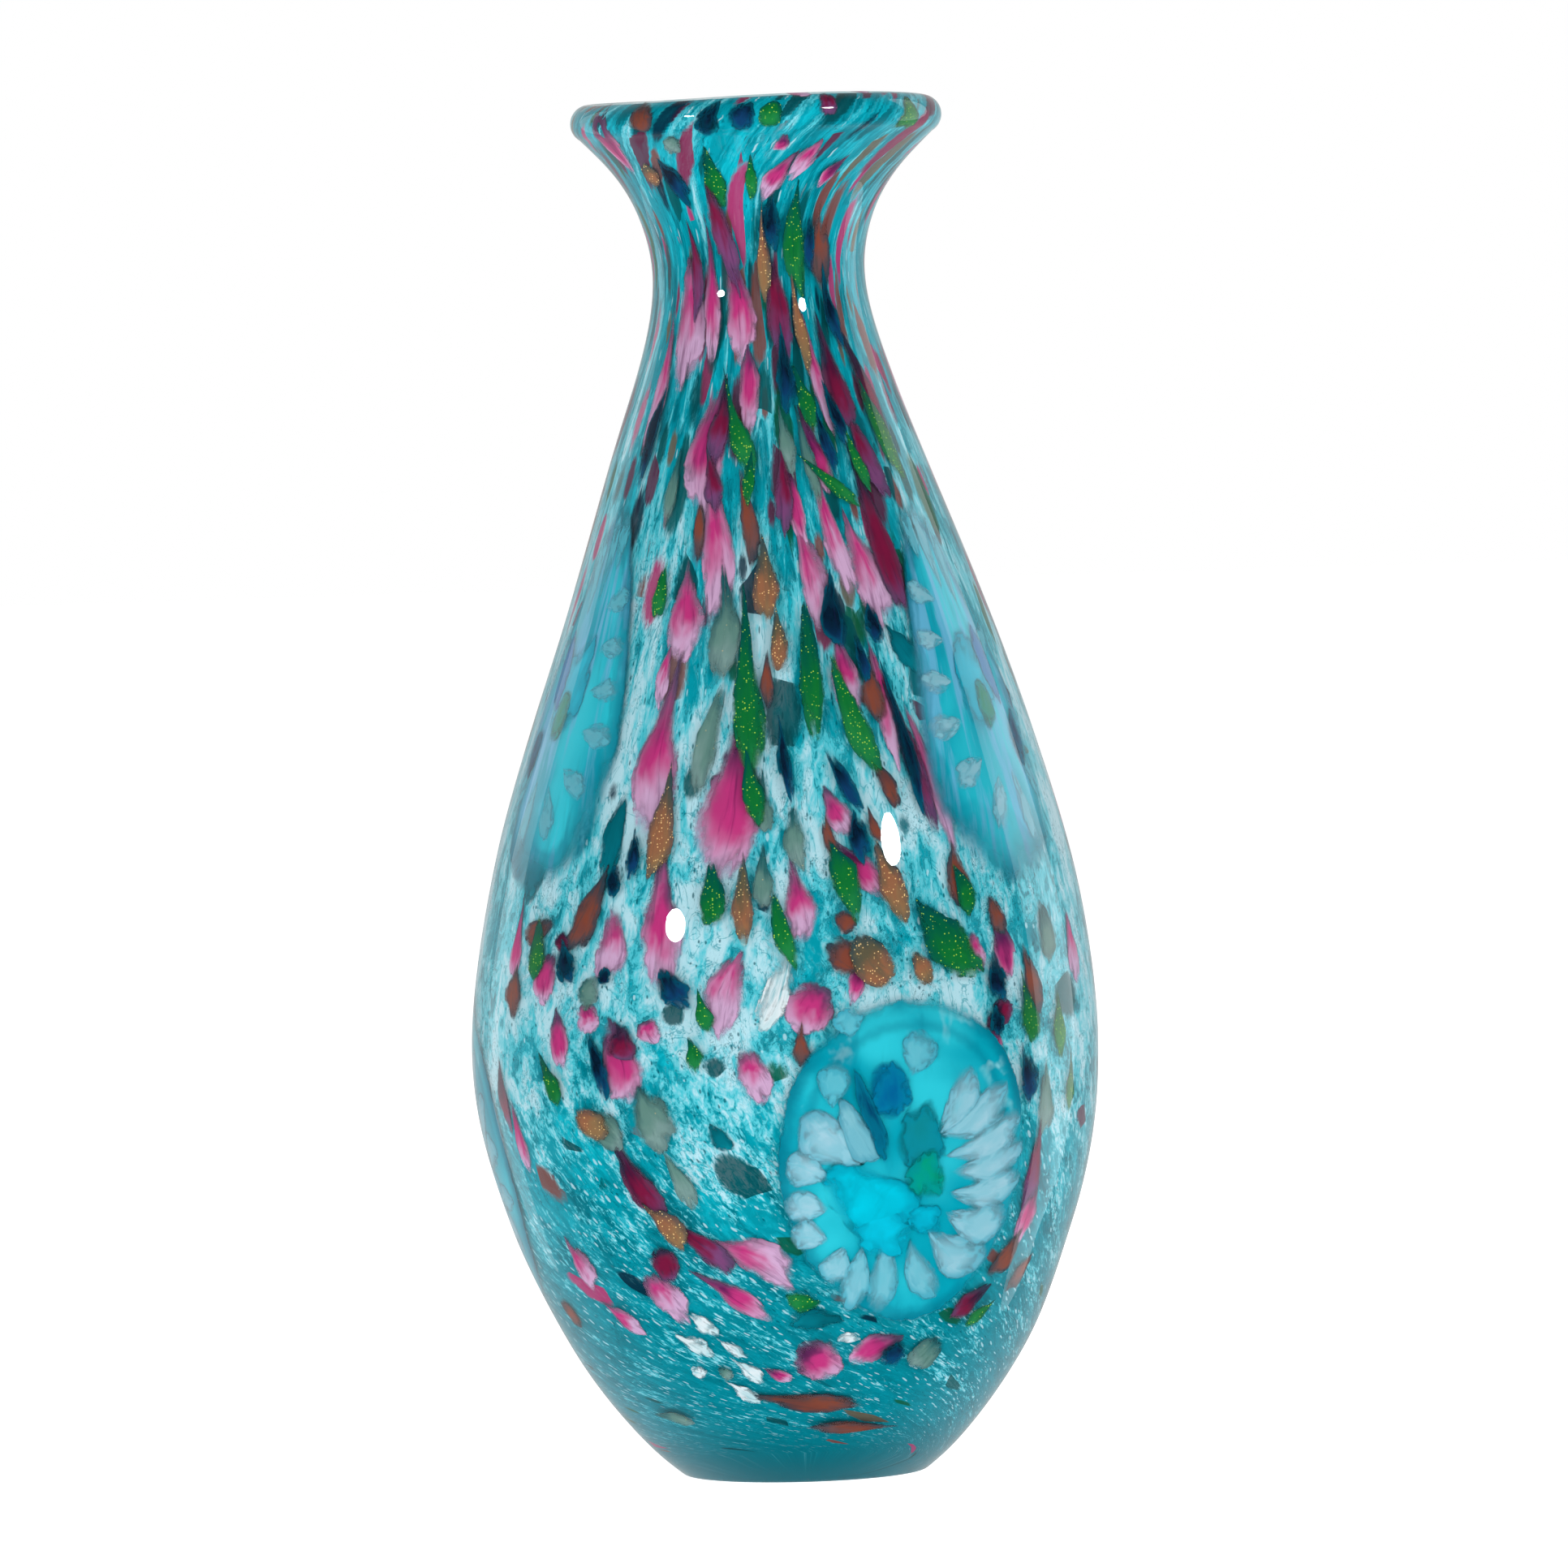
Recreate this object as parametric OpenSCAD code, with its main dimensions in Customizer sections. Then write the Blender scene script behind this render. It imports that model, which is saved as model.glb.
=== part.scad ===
// Hand blown art glass vase, cased in clear glass over an opal lining.
// Millimetres, +Z up, origin at the centre of the foot, front towards -Y.
//
// The wall is built in layers, given as shares of its thickness from the outside:
// clear casing, clear gather with its chips and murrines, turquoise ground, opal lining.
// A place on the vase is an azimuth in degrees (0 at the front, positive to the right)
// and a height in millimetres on a vase 330 mm tall.

/* [Outline] */
// Height to the top of the lip
height = 330; // [310:5:350]
// Widest diameter, across the belly
belly_d = 150.8; // [144:0.2:158]
// Narrowest diameter, at the neck
neck_d = 50; // [47:0.5:54]
// Diameter over the rounded lip
lip_d = 89; // [84:0.5:94]
// Diameter of the flat foot
foot_d = 58; // [54:0.5:62]
// Angle of the flare at the lip, from upright
flare = 45; // [40:1:50]

/* [Wall] */
// Wall thickness of the body and neck
wall = 6.2; // [5.8:0.1:6.8]
// Radius of the rounded lip, half its thickness
lip_r = 4.6; // [4:0.1:5]
// Glass under the bowl, foot to lining
base_t = 14; // [12:0.5:16]

/* [Murrines] */
// Half width of a slice in the lower ring
lower_half_w = 32; // [28:0.5:33]
// Half height of a slice in the lower ring
lower_half_h = 40; // [36:0.5:41]
// Half width of a slice in the upper ring
upper_half_w = 18; // [15:0.5:19]
// Half height of a slice in the upper ring
upper_half_h = 50; // [44:0.5:51]
// White cells round each slice
petal_count = 16; // [8:1:18]

/* [Hidden] */
$fn = 96;

// Shares of the wall, from outside, where each layer ends
casing_share = 0.34;
gather_share = 0.72;
ground_share = 0.82;
// Outer and inner share of the three depths that chips lie at
outer_depth = [0.37, 0.46];
middle_depth = [0.49, 0.58];
inner_depth = [0.61, 0.69];
// A murrine slice is as thick as the two outer depths
slice_depth = [outer_depth[0], middle_depth[1]];

// Heights are listed for this height, and scale with the vase
drawn_height = 330;
unit = height / drawn_height;
belly_z = 103 * unit;
neck_z = 290 * unit;
end_z = height - lip_r * (1 + sin(flare));
end_r = lip_d / 2 - lip_r * (1 - cos(flare));

// The outline between two rings: share of the way up, share of the way out
foot_to_belly = [[0, 0], [0.03, 0.09], [0.10, 0.24], [0.27, 0.52], [0.47, 0.735],
    [0.66, 0.885], [0.835, 0.974]];
neck_to_belly = [[1, 1], [0.877, 0.96], [0.76, 0.878], [0.60, 0.706], [0.44, 0.503],
    [0.225, 0.224], [0.118, 0.085], [0.053, 0.02]];
neck_to_lip = [[0, 0], [0.31, 0.115], [0.62, 0.355], [0.86, 0.72], [1, 1]];

function between(a, b, share) = a + (b - a) * share;
stations = concat(
    [for (p = foot_to_belly) [between(0, belly_z, p[0]), between(foot_d, belly_d, p[1]) / 2]],
    [for (p = neck_to_belly) [between(neck_z, belly_z, p[0]), between(neck_d, belly_d, p[1]) / 2]],
    [for (p = neck_to_lip) [between(neck_z, end_z, p[0]), between(neck_d / 2, end_r, p[1])]]);
last = len(stations) - 1;

// A smooth cubic through the stations gives the outer radius at any height
function rise(i) = stations[i + 1][0] - stations[i][0];
function secant(i) = (stations[i + 1][1] - stations[i][1]) / rise(i);
function tangent(i) = i == 0 ? secant(0) : i == last ? tan(flare)
    : (secant(i - 1) * rise(i) + secant(i) * rise(i - 1)) / (rise(i - 1) + rise(i));
function span_at(z) = max(concat([0], [for (i = [1 : last - 1]) if (z >= stations[i][0]) i]));
function cubic(i, t) =
    (2 * t ^ 3 - 3 * t ^ 2 + 1) * stations[i][1] + (3 * t ^ 2 - 2 * t ^ 3) * stations[i + 1][1]
    + (t ^ 3 - 2 * t ^ 2 + t) * rise(i) * tangent(i) + (t ^ 3 - t ^ 2) * rise(i) * tangent(i + 1);
function radius_at(z) = let (i = span_at(z)) cubic(i, (z - stations[i][0]) / rise(i));
// Lean of the outer surface from upright, positive where it widens upwards
function lean_at(z) = atan((radius_at(z + 0.1) - radius_at(z - 0.1)) / 0.2);

// The wall swells from the neck into the rounded lip
swell_z = neck_z + 8 * unit;
function ease(t) = let (u = min(max(t, 0), 1)) u * u * (3 - 2 * u);
function wall_at(z) = between(wall, 2 * lip_r, ease((z - swell_z) / (end_z - swell_z)));
function inside(z, depth) = let (a = lean_at(z)) [radius_at(z) - depth * cos(a), z + depth * sin(a)];

// Under join_z a layer turns into a bowl, an ellipse that meets the wall without a kink
join_z = 34 * unit;
bowl_steps = 6;
function bowl(share) = let (
    edge = inside(join_z, share * wall_at(join_z)),
    floor_z = share * base_t,
    drop = edge[1] - floor_z,
    out = tan(lean_at(join_z)) * drop,
    turn = acos(out / (edge[0] - out)),
    wide = edge[0] / sin(turn),
    tall = drop / (1 - cos(turn)))
    [for (k = [0 : bowl_steps - 1]) let (a = turn * k / bowl_steps)
        [wide * sin(a), floor_z + tall * (1 - cos(a))]];

// Layer surfaces run from the axis up to the end of the wall
wall_step = 8;
wall_count = ceil((end_z - join_z) / wall_step);
wall_heights = [for (k = [0 : wall_count]) between(join_z, end_z, k / wall_count)];
function layer(share) = concat(bowl(share),
    [for (z = wall_heights) inside(z, share * wall_at(z))]);
foot_count = 9;
outside = concat([[0, 0]],
    [for (k = [0 : foot_count - 1]) let (z = join_z * (k / foot_count) ^ 1.6) [radius_at(z), z]],
    [for (z = wall_heights) [radius_at(z), z]]);

// The lip is a half circle, cut by the layers
lip_centre = inside(end_z, lip_r);
function lip_turn(share) = acos(1 - 2 * share);
function lip_arc(share0, share1) = let (a0 = lip_turn(share0), a1 = lip_turn(share1),
    count = ceil((a1 - a0) / 15))
    [for (k = [1 : count - 1]) let (a = flare - between(a0, a1, k / count))
        lip_centre + lip_r * [cos(a), -sin(a)]];
function lip_edge(share) = let (a = flare - lip_turn(share)) lip_centre + lip_r * [cos(a), -sin(a)];

function backwards(points) = [for (k = [len(points) - 1 : -1 : 0]) points[k]];
module layer_solid(surface0, surface1, share0, share1) {
    rotate_extrude()
        polygon(concat(surface0, share0 > 0 ? [lip_edge(share0)] : [],
            lip_arc(share0, share1), [lip_edge(share1)], backwards(surface1)));
}

// A prism square to the outer surface, with its outline's Y up the wall
prism_over = 2;
module on_surface(azimuth, z, reach) {
    rotate([0, 0, azimuth]) translate([0, -radius_at(z), z]) rotate([90 + lean_at(z), 0, 0])
        translate([0, 0, -reach]) linear_extrude(reach + prism_over) children();
}

// A thin band between two depths, only as long as a piece needs
lip_reach = 0.7 * lip_r;
function with_lip(points) = concat(points,
    [points[len(points) - 1] + lip_reach * [sin(flare), cos(flare)]]);
function depth_band(depth) = [with_lip(layer(depth[0])), with_lip(layer(depth[1]))];
outer_band = depth_band(outer_depth);
middle_band = depth_band(middle_depth);
inner_band = depth_band(inner_depth);
slice_band = [outer_band[0], middle_band[1]];
module band_near(band, z, reach) {
    middle = inside(z, wall / 4);
    near = [for (i = [0 : len(band[0]) - 1]) if (norm(band[0][i] - middle) < reach) i];
    ends = [near[0], near[len(near) - 1]];
    rotate_extrude()
        polygon(concat([for (i = [ends[0] : ends[1]]) band[0][i]],
            [for (i = [ends[1] : -1 : ends[0]]) band[1][i]]));
}

// Chips, each [azimuth, height, length, width, lean]: positive leans to the right.
// The front ones are placed by hand.
pink = [[-58, 316, 18, 6, 4], [14, 325, 8, 3, 40], [38, 322, 6, 3, 40], [9, 318, 4, 3, 15],
    [8, 310, 10, 5, 20], [19, 314, 10, 4, 15], [33, 311, 7, 3, 20], [-43, 276, 22, 7, 0],
    [-29, 281, 18, 4, 0], [-13, 280, 18, 6, -5], [-8, 262, 16, 4, 0], [-57, 262, 18, 5, 0],
    [27, 263, 16, 4, -5], [-24, 246, 20, 9, 5], [-19, 224, 20, 8, -3], [9, 234, 13, 4, -5],
    [19, 245, 12, 5, -8], [20, 227, 20, 5, -8], [11, 216, 18, 6, -5], [29, 216, 18, 8, -5],
    [-27, 208, 14, 9, 0], [-31, 194, 10, 4, 5], [-29, 173, 27, 12, 3], [-12, 163, 28, 16, 8],
    [-25, 135, 22, 11, 0], [17, 193, 13, 7, -5], [27, 184, 22, 5, -5], [36, 166, 24, 5, -12],
    [12, 161, 9, 6, -20], [16, 148, 11, 6, -40], [3, 140, 15, 8, -5], [5, 116, 12, 9, 30],
    [14, 122, 10, 4, 20], [40, 127, 8, 5, -5], [47, 127, 13, 7, -10], [42, 104, 11, 6, 0],
    [72, 125, 14, 7, 0], [-35, 130, 14, 9, 0], [-11, 120, 18, 9, 15], [-40, 114, 7, 6, 0],
    [-47, 108, 13, 6, -15], [-52, 123, 12, 8, 10], [-33, 103, 18, 11, -12], [-26, 111, 6, 5, -10],
    [-6, 100, 12, 8, -25], [-63, 130, 13, 5, 0], [-62, 83, 15, 5, -10], [-8, 55, 22, 9, -55],
    [-14, 46, 18, 5, -55], [-31, 46, 14, 8, -40], [-53, 53, 12, 6, -20], [-45, 40, 10, 5, -50],
    [4, 30, 12, 8, -60], [-6, 26, 6, 3, -50], [18, 32, 11, 7, 60], [56, 62, 16, 6, 10]];
white = [[-23, 39, 7, 4, -50], [-27, 34, 8, 4, -50], [-17, 33, 7, 3, -50], [-14, 27, 8, 4, -40],
    [-17, 21, 7, 4, -45], [-29, 27, 4, 4, 0], [-2, 120, 20, 6, 20], [12, 35, 5, 3, 90]];
teal = [[-38, 156, 18, 6, 8], [3, 40, 11, 6, 90], [-13, 85, 7, 4, -40], [35, 199, 9, 5, -20],
    [-60, 148, 12, 8, 20], [57, 168, 12, 7, 0]];
ruby = [[-18, 296, 18, 5, -8], [-39, 288, 14, 3, 0], [9, 279, 18, 5, -3], [-20, 252, 11, 5, 5],
    [-21, 239, 8, 4, -10], [5, 237, 12, 4, 3], [37, 222, 22, 7, -6], [41, 244, 14, 6, -8],
    [35, 262, 16, 6, -5], [53, 260, 14, 5, -8], [31, 173, 24, 5, -10], [45, 113, 6, 6, 0],
    [-32, 108, 8, 7, 0], [-66, 94, 15, 5, -10], [-31, 74, 20, 7, -30], [-19, 58, 16, 6, -45],
    [-29, 54, 9, 7, -20], [55, 72, 17, 6, 5], [43, 42, 11, 5, 45], [23, 324, 7, 3, 30],
    [-48, 132, 5, 5, 0]];
rust = [[-38, 323, 8, 4, 40], [38, 292, 12, 6, -3], [-8, 230, 13, 4, -5], [-25, 228, 9, 3, 0],
    [-3, 192, 9, 3, 0], [24, 189, 11, 5, 0], [24, 167, 9, 4, -20], [20, 157, 7, 3, -15],
    [10, 155, 8, 3, -10], [-42, 138, 14, 8, 25], [-56, 134, 9, 6, 60], [12, 136, 5, 4, -20],
    [12, 128, 9, 8, 0], [3, 106, 8, 4, 0], [38, 143, 13, 6, -5], [46, 135, 8, 5, -10],
    [54, 118, 15, 6, -10], [-62, 119, 12, 6, 0], [3, 18, 24, 6, -80], [16, 10, 20, 5, 90],
    [52, 53, 12, 6, 40], [59, 48, 10, 5, 35], [-67, 41, 8, 5, -20]];
smoke = [[-30, 319, 5, 4, 20], [8, 248, 9, 4, -5], [16, 243, 13, 3, -5], [-38, 237, 11, 4, 5],
    [-15, 203, 15, 8, 0], [-17, 178, 22, 6, 8], [-4, 163, 10, 5, -5], [-4, 146, 11, 5, 0],
    [3, 155, 11, 5, -5], [61, 130, 12, 7, 0], [-40, 120, 7, 7, 0], [-26, 89, 14, 9, -15],
    [-37, 87, 12, 7, -45], [-22, 74, 13, 5, -20], [57, 89, 15, 6, 0], [34, 30, 9, 7, 30],
    [-21, 27, 4, 3, -50], [-48, 14, 10, 5, -70]];
green = [[5, 323, 7, 3, 40], [57, 323, 8, 4, 45], [-18, 311, 13, 5, -3], [-2, 310, 8, 3, 0],
    [21, 294, 16, 5, -3], [-11, 250, 13, 5, -15], [-7, 240, 7, 3, 5], [18, 258, 9, 4, -10],
    [24, 238, 10, 4, -45], [53, 250, 15, 5, -10], [36, 243, 9, 3, -10], [-36, 213, 9, 4, 5],
    [-8, 187, 27, 7, -3], [8, 193, 21, 5, 0], [18, 182, 21, 6, -15], [-6, 166, 11, 5, -8],
    [-14, 142, 11, 6, 0], [0, 133, 15, 5, -15], [12, 146, 15, 6, -15], [38, 141, 9, 5, -8],
    [34, 129, 18, 11, -40], [-55, 129, 12, 6, 0], [-15, 115, 8, 4, -20], [-17, 105, 7, 4, -10],
    [52, 111, 13, 6, -8], [62, 107, 12, 6, 0], [66, 93, 11, 4, 0], [-49, 98, 11, 5, -25],
    [1, 45, 7, 5, 90], [47, 39, 8, 4, 50]];
copper = [[-48, 313, 6, 4, 10], [3, 290, 12, 3, 0], [21, 275, 14, 3, -3], [-3, 214, 12, 6, 0],
    [0, 201, 10, 4, 0], [-26, 158, 15, 7, 5], [-8, 140, 14, 5, 0], [22, 143, 14, 7, -15],
    [17, 126, 12, 8, -30], [27, 124, 7, 5, -20], [-40, 89, 10, 6, -45], [-26, 63, 12, 6, -35]];
navy = [[-14, 323, 8, 3, 45], [-4, 326, 8, 3, 50], [8, 299, 9, 5, 0], [31, 294, 9, 3, -3],
    [-38, 311, 12, 5, -8], [42, 278, 12, 4, -5], [10, 264, 12, 4, 0], [24, 248, 9, 3, -8],
    [31, 254, 10, 3, -8], [16, 208, 12, 6, 0], [27, 205, 7, 4, 0], [1, 173, 14, 3, -8],
    [22, 197, 8, 3, -5], [14, 168, 13, 4, -25], [30, 176, 24, 4, -8], [16, 155, 9, 5, -5],
    [-32, 152, 9, 4, 0], [-36, 146, 6, 4, 0], [-46, 127, 9, 5, -20], [-36, 124, 4, 4, 0],
    [-21, 121, 10, 6, -30], [-37, 102, 13, 5, -15], [44, 120, 10, 6, -10], [43, 110, 7, 4, 0],
    [51, 96, 13, 6, -10], [24, 31, 7, 6, 0], [-53, 251, 15, 4, 5]];

// Round the back they follow a rule: staggered rows, each chip nudged, colours in turn
back_from = 84;
back_to = 276;
nudge = rands(-1, 1, 900, 11);
// Rows as [height, length, width, spacing round the vase], longer and closer up the neck
rows = [[312, 12, 4, 13], [286, 20, 4, 9], [258, 20, 5, 11], [230, 19, 6, 14], [204, 18, 7, 16],
    [180, 16, 7, 18], [158, 14, 8, 19], [137, 13, 8, 20], [120, 11, 7, 20], [102, 12, 8, 21],
    [84, 12, 7, 20], [64, 13, 6, 20], [46, 12, 6, 19], [28, 11, 5, 18]];
// Lean of the chips in a row: the last turn of the pipe swept them at the lip and the foot
function row_lean(z) = z > 305 ? 25 : z < 70 ? -75 + z / 2 : 0;
murrines = [[24, 77, lower_half_w, lower_half_h, 0.05, 0], [144, 77, lower_half_w, lower_half_h, 0.05, 0],
    [-96, 77, lower_half_w, lower_half_h, 0.05, 0], [-60, 190, upper_half_w, upper_half_h, 0.45, 3],
    [54, 190, upper_half_w, upper_half_h, 0.45, -3], [177, 190, upper_half_w, upper_half_h, 0.45, 0]];
function turn_between(a, b) = ((a - b + 540) % 360) - 180;
clear_gap = 7;
function hits(azimuth, z, m) =
    let (across = turn_between(azimuth, m[0]) * PI / 180 * radius_at(z * unit), up = z - m[1])
    (across / (m[2] + clear_gap)) ^ 2 + (up / (m[3] + clear_gap)) ^ 2 < 1;
function is_free(azimuth, z) = len([for (m = murrines) if (hits(azimuth, z, m)) m]) == 0;
back = [for (r = [0 : len(rows) - 1]) let (
    row = rows[r],
    pitch = row[3] / radius_at(row[0] * unit) * 180 / PI,
    count = floor((back_to - back_from) / pitch))
    for (k = [0 : count - 1]) let (
        n = (r * 31 + k) * 2,
        azimuth = back_from + (k + 0.5 + 0.25 * (r % 2)) * pitch + nudge[n] * pitch * 0.12,
        z = row[0] + nudge[n + 1] * 2)
        if (is_free(azimuth, z))
            [azimuth, z, row[1] + nudge[n] * 2, row[2] + nudge[n + 1], row_lean(z) + nudge[n] * 8]];
// The turn that the nine colours take round the back, pink and green most often
turns = ["pink", "green", "ruby", "navy", "pink", "copper", "rust", "teal", "green", "smoke",
    "pink", "white", "navy"];
function back_chips(colour) = [for (k = [0 : len(back) - 1]) if (turns[k % len(turns)] == colour) back[k]];

chip_reach = 16;
chip_sides = 6;
// Extra length of the band past a chip's ends
chip_margin = 9;
module chip(c, band) {
    z = c[1] * unit;
    intersection() {
        band_near(band, z, max(c[2], c[3]) / 2 + chip_margin);
        on_surface(c[0], z, chip_reach) rotate(-c[4])
            polygon([for (k = [0 : chip_sides - 1]) let (a = k * 360 / chip_sides)
                [c[3] / 2 * sin(a), c[2] / 2 * cos(a)]]);
    }
}
module chips(placed, colour, band) {
    for (c = placed) chip(c, band);
    for (c = back_chips(colour)) chip(c, band);
}

// A murrine is [azimuth, height, half width, half height, drop, lean].
// drop narrows its top and widens its foot.
murrine_reach = 30;
murrine_margin = 14;
murrine_sides = 24;
core_share = 0.34;
petal_from = 0.48;
petal_to = 0.88;
petal_fill = 0.62;
function ring_point(m, share, a) = share * [m[2] * cos(a) * (1 - m[4] * sin(a)), m[3] * sin(a)];
function ring(m, share) = [for (k = [0 : murrine_sides - 1]) ring_point(m, share, k * 360 / murrine_sides)];
function petal(m, k) = let (a = (k + 0.5) * 360 / petal_count, half = 180 / petal_count * petal_fill)
    [ring_point(m, petal_from, a), ring_point(m, between(petal_from, petal_to, 0.4), a + half),
     ring_point(m, petal_to, a + half * 0.7), ring_point(m, petal_to, a - half * 0.7),
     ring_point(m, between(petal_from, petal_to, 0.4), a - half)];
module murrine_part(m) {
    z = m[1] * unit;
    intersection() {
        band_near(slice_band, z, m[3] + murrine_margin);
        on_surface(m[0], z, murrine_reach) rotate(-m[5]) children();
    }
}
module murrine_disc(m) {
    murrine_part(m) difference() {
        polygon(ring(m, 1));
        polygon(ring(m, core_share));
        for (k = [0 : petal_count - 1]) polygon(petal(m, k));
    }
}
module murrine_petals(m) {
    for (k = [0 : petal_count - 1]) murrine_part(m) polygon(petal(m, k));
}
module murrine_core(m) { murrine_part(m) polygon(ring(m, core_share)); }
lower_front = murrines[0];
lower_back = murrines[1];
lower_left = murrines[2];
upper_left = murrines[3];
upper_right = murrines[4];
upper_back = murrines[5];

// Layers
module clear_casing() {
    color("#d8e6e6", 0.35) layer_solid(outside, layer(casing_share), 0, casing_share);
}
module colour_gather() {
    color("#cfe4e6", 0.5) difference() {
        layer_solid(layer(casing_share), layer(gather_share), casing_share, gather_share);
        for (c = concat(green, back_chips("green"))) chip(c, outer_band);
        for (c = concat(copper, back_chips("copper"))) chip(c, outer_band);
        for (c = concat(navy, back_chips("navy"))) chip(c, outer_band);
        for (c = concat(ruby, back_chips("ruby"))) chip(c, middle_band);
        for (c = concat(rust, back_chips("rust"))) chip(c, middle_band);
        for (c = concat(smoke, back_chips("smoke"))) chip(c, middle_band);
        for (c = concat(pink, back_chips("pink"))) chip(c, inner_band);
        for (c = concat(white, back_chips("white"))) chip(c, inner_band);
        for (c = concat(teal, back_chips("teal"))) chip(c, inner_band);
        for (m = murrines) murrine_part(m) polygon(ring(m, 1));
    }
}
module turquoise_ground() {
    color("#2fb4c4") layer_solid(layer(gather_share), layer(ground_share), gather_share, ground_share);
}
module opal_lining() {
    color("#c4dfe2") layer_solid(layer(ground_share), layer(1), ground_share, 1);
}

// Chips
module pink_chips() { color("#d7649f") chips(pink, "pink", inner_band); }
module white_chips() { color("#f0f0ec") chips(white, "white", inner_band); }
module teal_chips() { color("#0a6f7d") chips(teal, "teal", inner_band); }
module ruby_chips() { color("#8a1438") chips(ruby, "ruby", middle_band); }
module rust_chips() { color("#a8492f") chips(rust, "rust", middle_band); }
module smoke_chips() { color("#8b8f7c") chips(smoke, "smoke", middle_band); }
module green_chips() { color("#14782a") chips(green, "green", outer_band); }
module copper_chips() { color("#be6e50") chips(copper, "copper", outer_band); }
module navy_chips() { color("#16305e") chips(navy, "navy", outer_band); }

// Murrines
module slice_disc(m) { color("#0fa9bf") murrine_disc(m); }
module slice_petals(m) { color("#d9e8ee") murrine_petals(m); }
module slice_core(m) { color("#08b6cc") murrine_core(m); }

clear_casing();
colour_gather();
turquoise_ground();
opal_lining();
pink_chips();
ruby_chips();
green_chips();
copper_chips();
navy_chips();
rust_chips();
smoke_chips();
white_chips();
teal_chips();
slice_disc(lower_front);  // lower_front_disc
slice_petals(lower_front);  // lower_front_petals
slice_core(lower_front);  // lower_front_core
slice_disc(lower_back);  // lower_back_disc
slice_petals(lower_back);  // lower_back_petals
slice_core(lower_back);  // lower_back_core
slice_disc(lower_left);  // lower_left_disc
slice_petals(lower_left);  // lower_left_petals
slice_core(lower_left);  // lower_left_core
slice_disc(upper_left);  // upper_left_disc
slice_petals(upper_left);  // upper_left_petals
slice_core(upper_left);  // upper_left_core
slice_disc(upper_right);  // upper_right_disc
slice_petals(upper_right);  // upper_right_petals
slice_core(upper_right);  // upper_right_core
slice_disc(upper_back);  // upper_back_disc
slice_petals(upper_back);  // upper_back_petals
slice_core(upper_back);  // upper_back_core
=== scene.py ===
"""Looks of a hand blown art glass vase, laid over its turned layers and its chips of coloured glass."""

import logging
import math
import random
from dataclasses import dataclass, field, replace
from enum import Enum

import bmesh
import bpy
import numpy as np
from mathutils import Matrix, Vector, noise


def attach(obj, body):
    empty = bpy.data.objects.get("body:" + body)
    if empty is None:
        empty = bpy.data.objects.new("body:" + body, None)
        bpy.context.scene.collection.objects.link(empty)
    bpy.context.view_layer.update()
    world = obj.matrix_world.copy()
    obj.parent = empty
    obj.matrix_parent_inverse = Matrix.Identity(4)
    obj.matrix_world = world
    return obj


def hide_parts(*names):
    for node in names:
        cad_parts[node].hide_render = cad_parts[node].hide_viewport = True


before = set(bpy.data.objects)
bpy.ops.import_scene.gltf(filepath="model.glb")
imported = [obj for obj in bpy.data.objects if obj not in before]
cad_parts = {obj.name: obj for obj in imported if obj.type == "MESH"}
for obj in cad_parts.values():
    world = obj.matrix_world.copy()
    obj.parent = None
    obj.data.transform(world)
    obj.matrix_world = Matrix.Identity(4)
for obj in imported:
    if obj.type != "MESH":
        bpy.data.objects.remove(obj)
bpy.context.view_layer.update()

LOG = logging.getLogger("vase")
MM = 0.001
Colour = tuple[float, float, float]
Line = list[Vector]


def shade(red: float, green: float, blue: float) -> Colour:
    """Turns a colour mixed on a 0 to 255 scale into the linear colour that shaders use.

    Args:
        red: Red, 0 to 255.
        green: Green, 0 to 255.
        blue: Blue, 0 to 255.

    Returns:
        The linear colour, each part 0 to 1.
    """
    def linear(part: float) -> float:
        """Takes off the display curve."""
        part /= 255
        return part / 12.92 if part <= 0.04045 else ((part + 0.055) / 1.055) ** 2.4

    return linear(red), linear(green), linear(blue)


def ease(low: float, high: float, value: float) -> float:
    """Rises smoothly from 0 at low to 1 at high."""
    t = min(max((value - low) / (high - low), 0.0), 1.0)
    return t * t * (3 - 2 * t)


def between(low: float, high: float, share: float) -> float:
    """Returns the number at a share of the way from low to high."""
    return low + (high - low) * share


def along(stops: list[tuple[float, float]], value: float) -> float:
    """Reads a smooth course through stops.

    Args:
        stops: Pairs of place and value, in rising order of place.
        value: The place to read.

    Returns:
        The course's value there, held level past its ends.
    """
    for (a, low), (b, high) in zip(stops, stops[1:]):
        if value <= b:
            return between(low, high, ease(a, b, value))
    return stops[-1][1]


# ---------------------------------------------------------------- the turned outline

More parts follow.
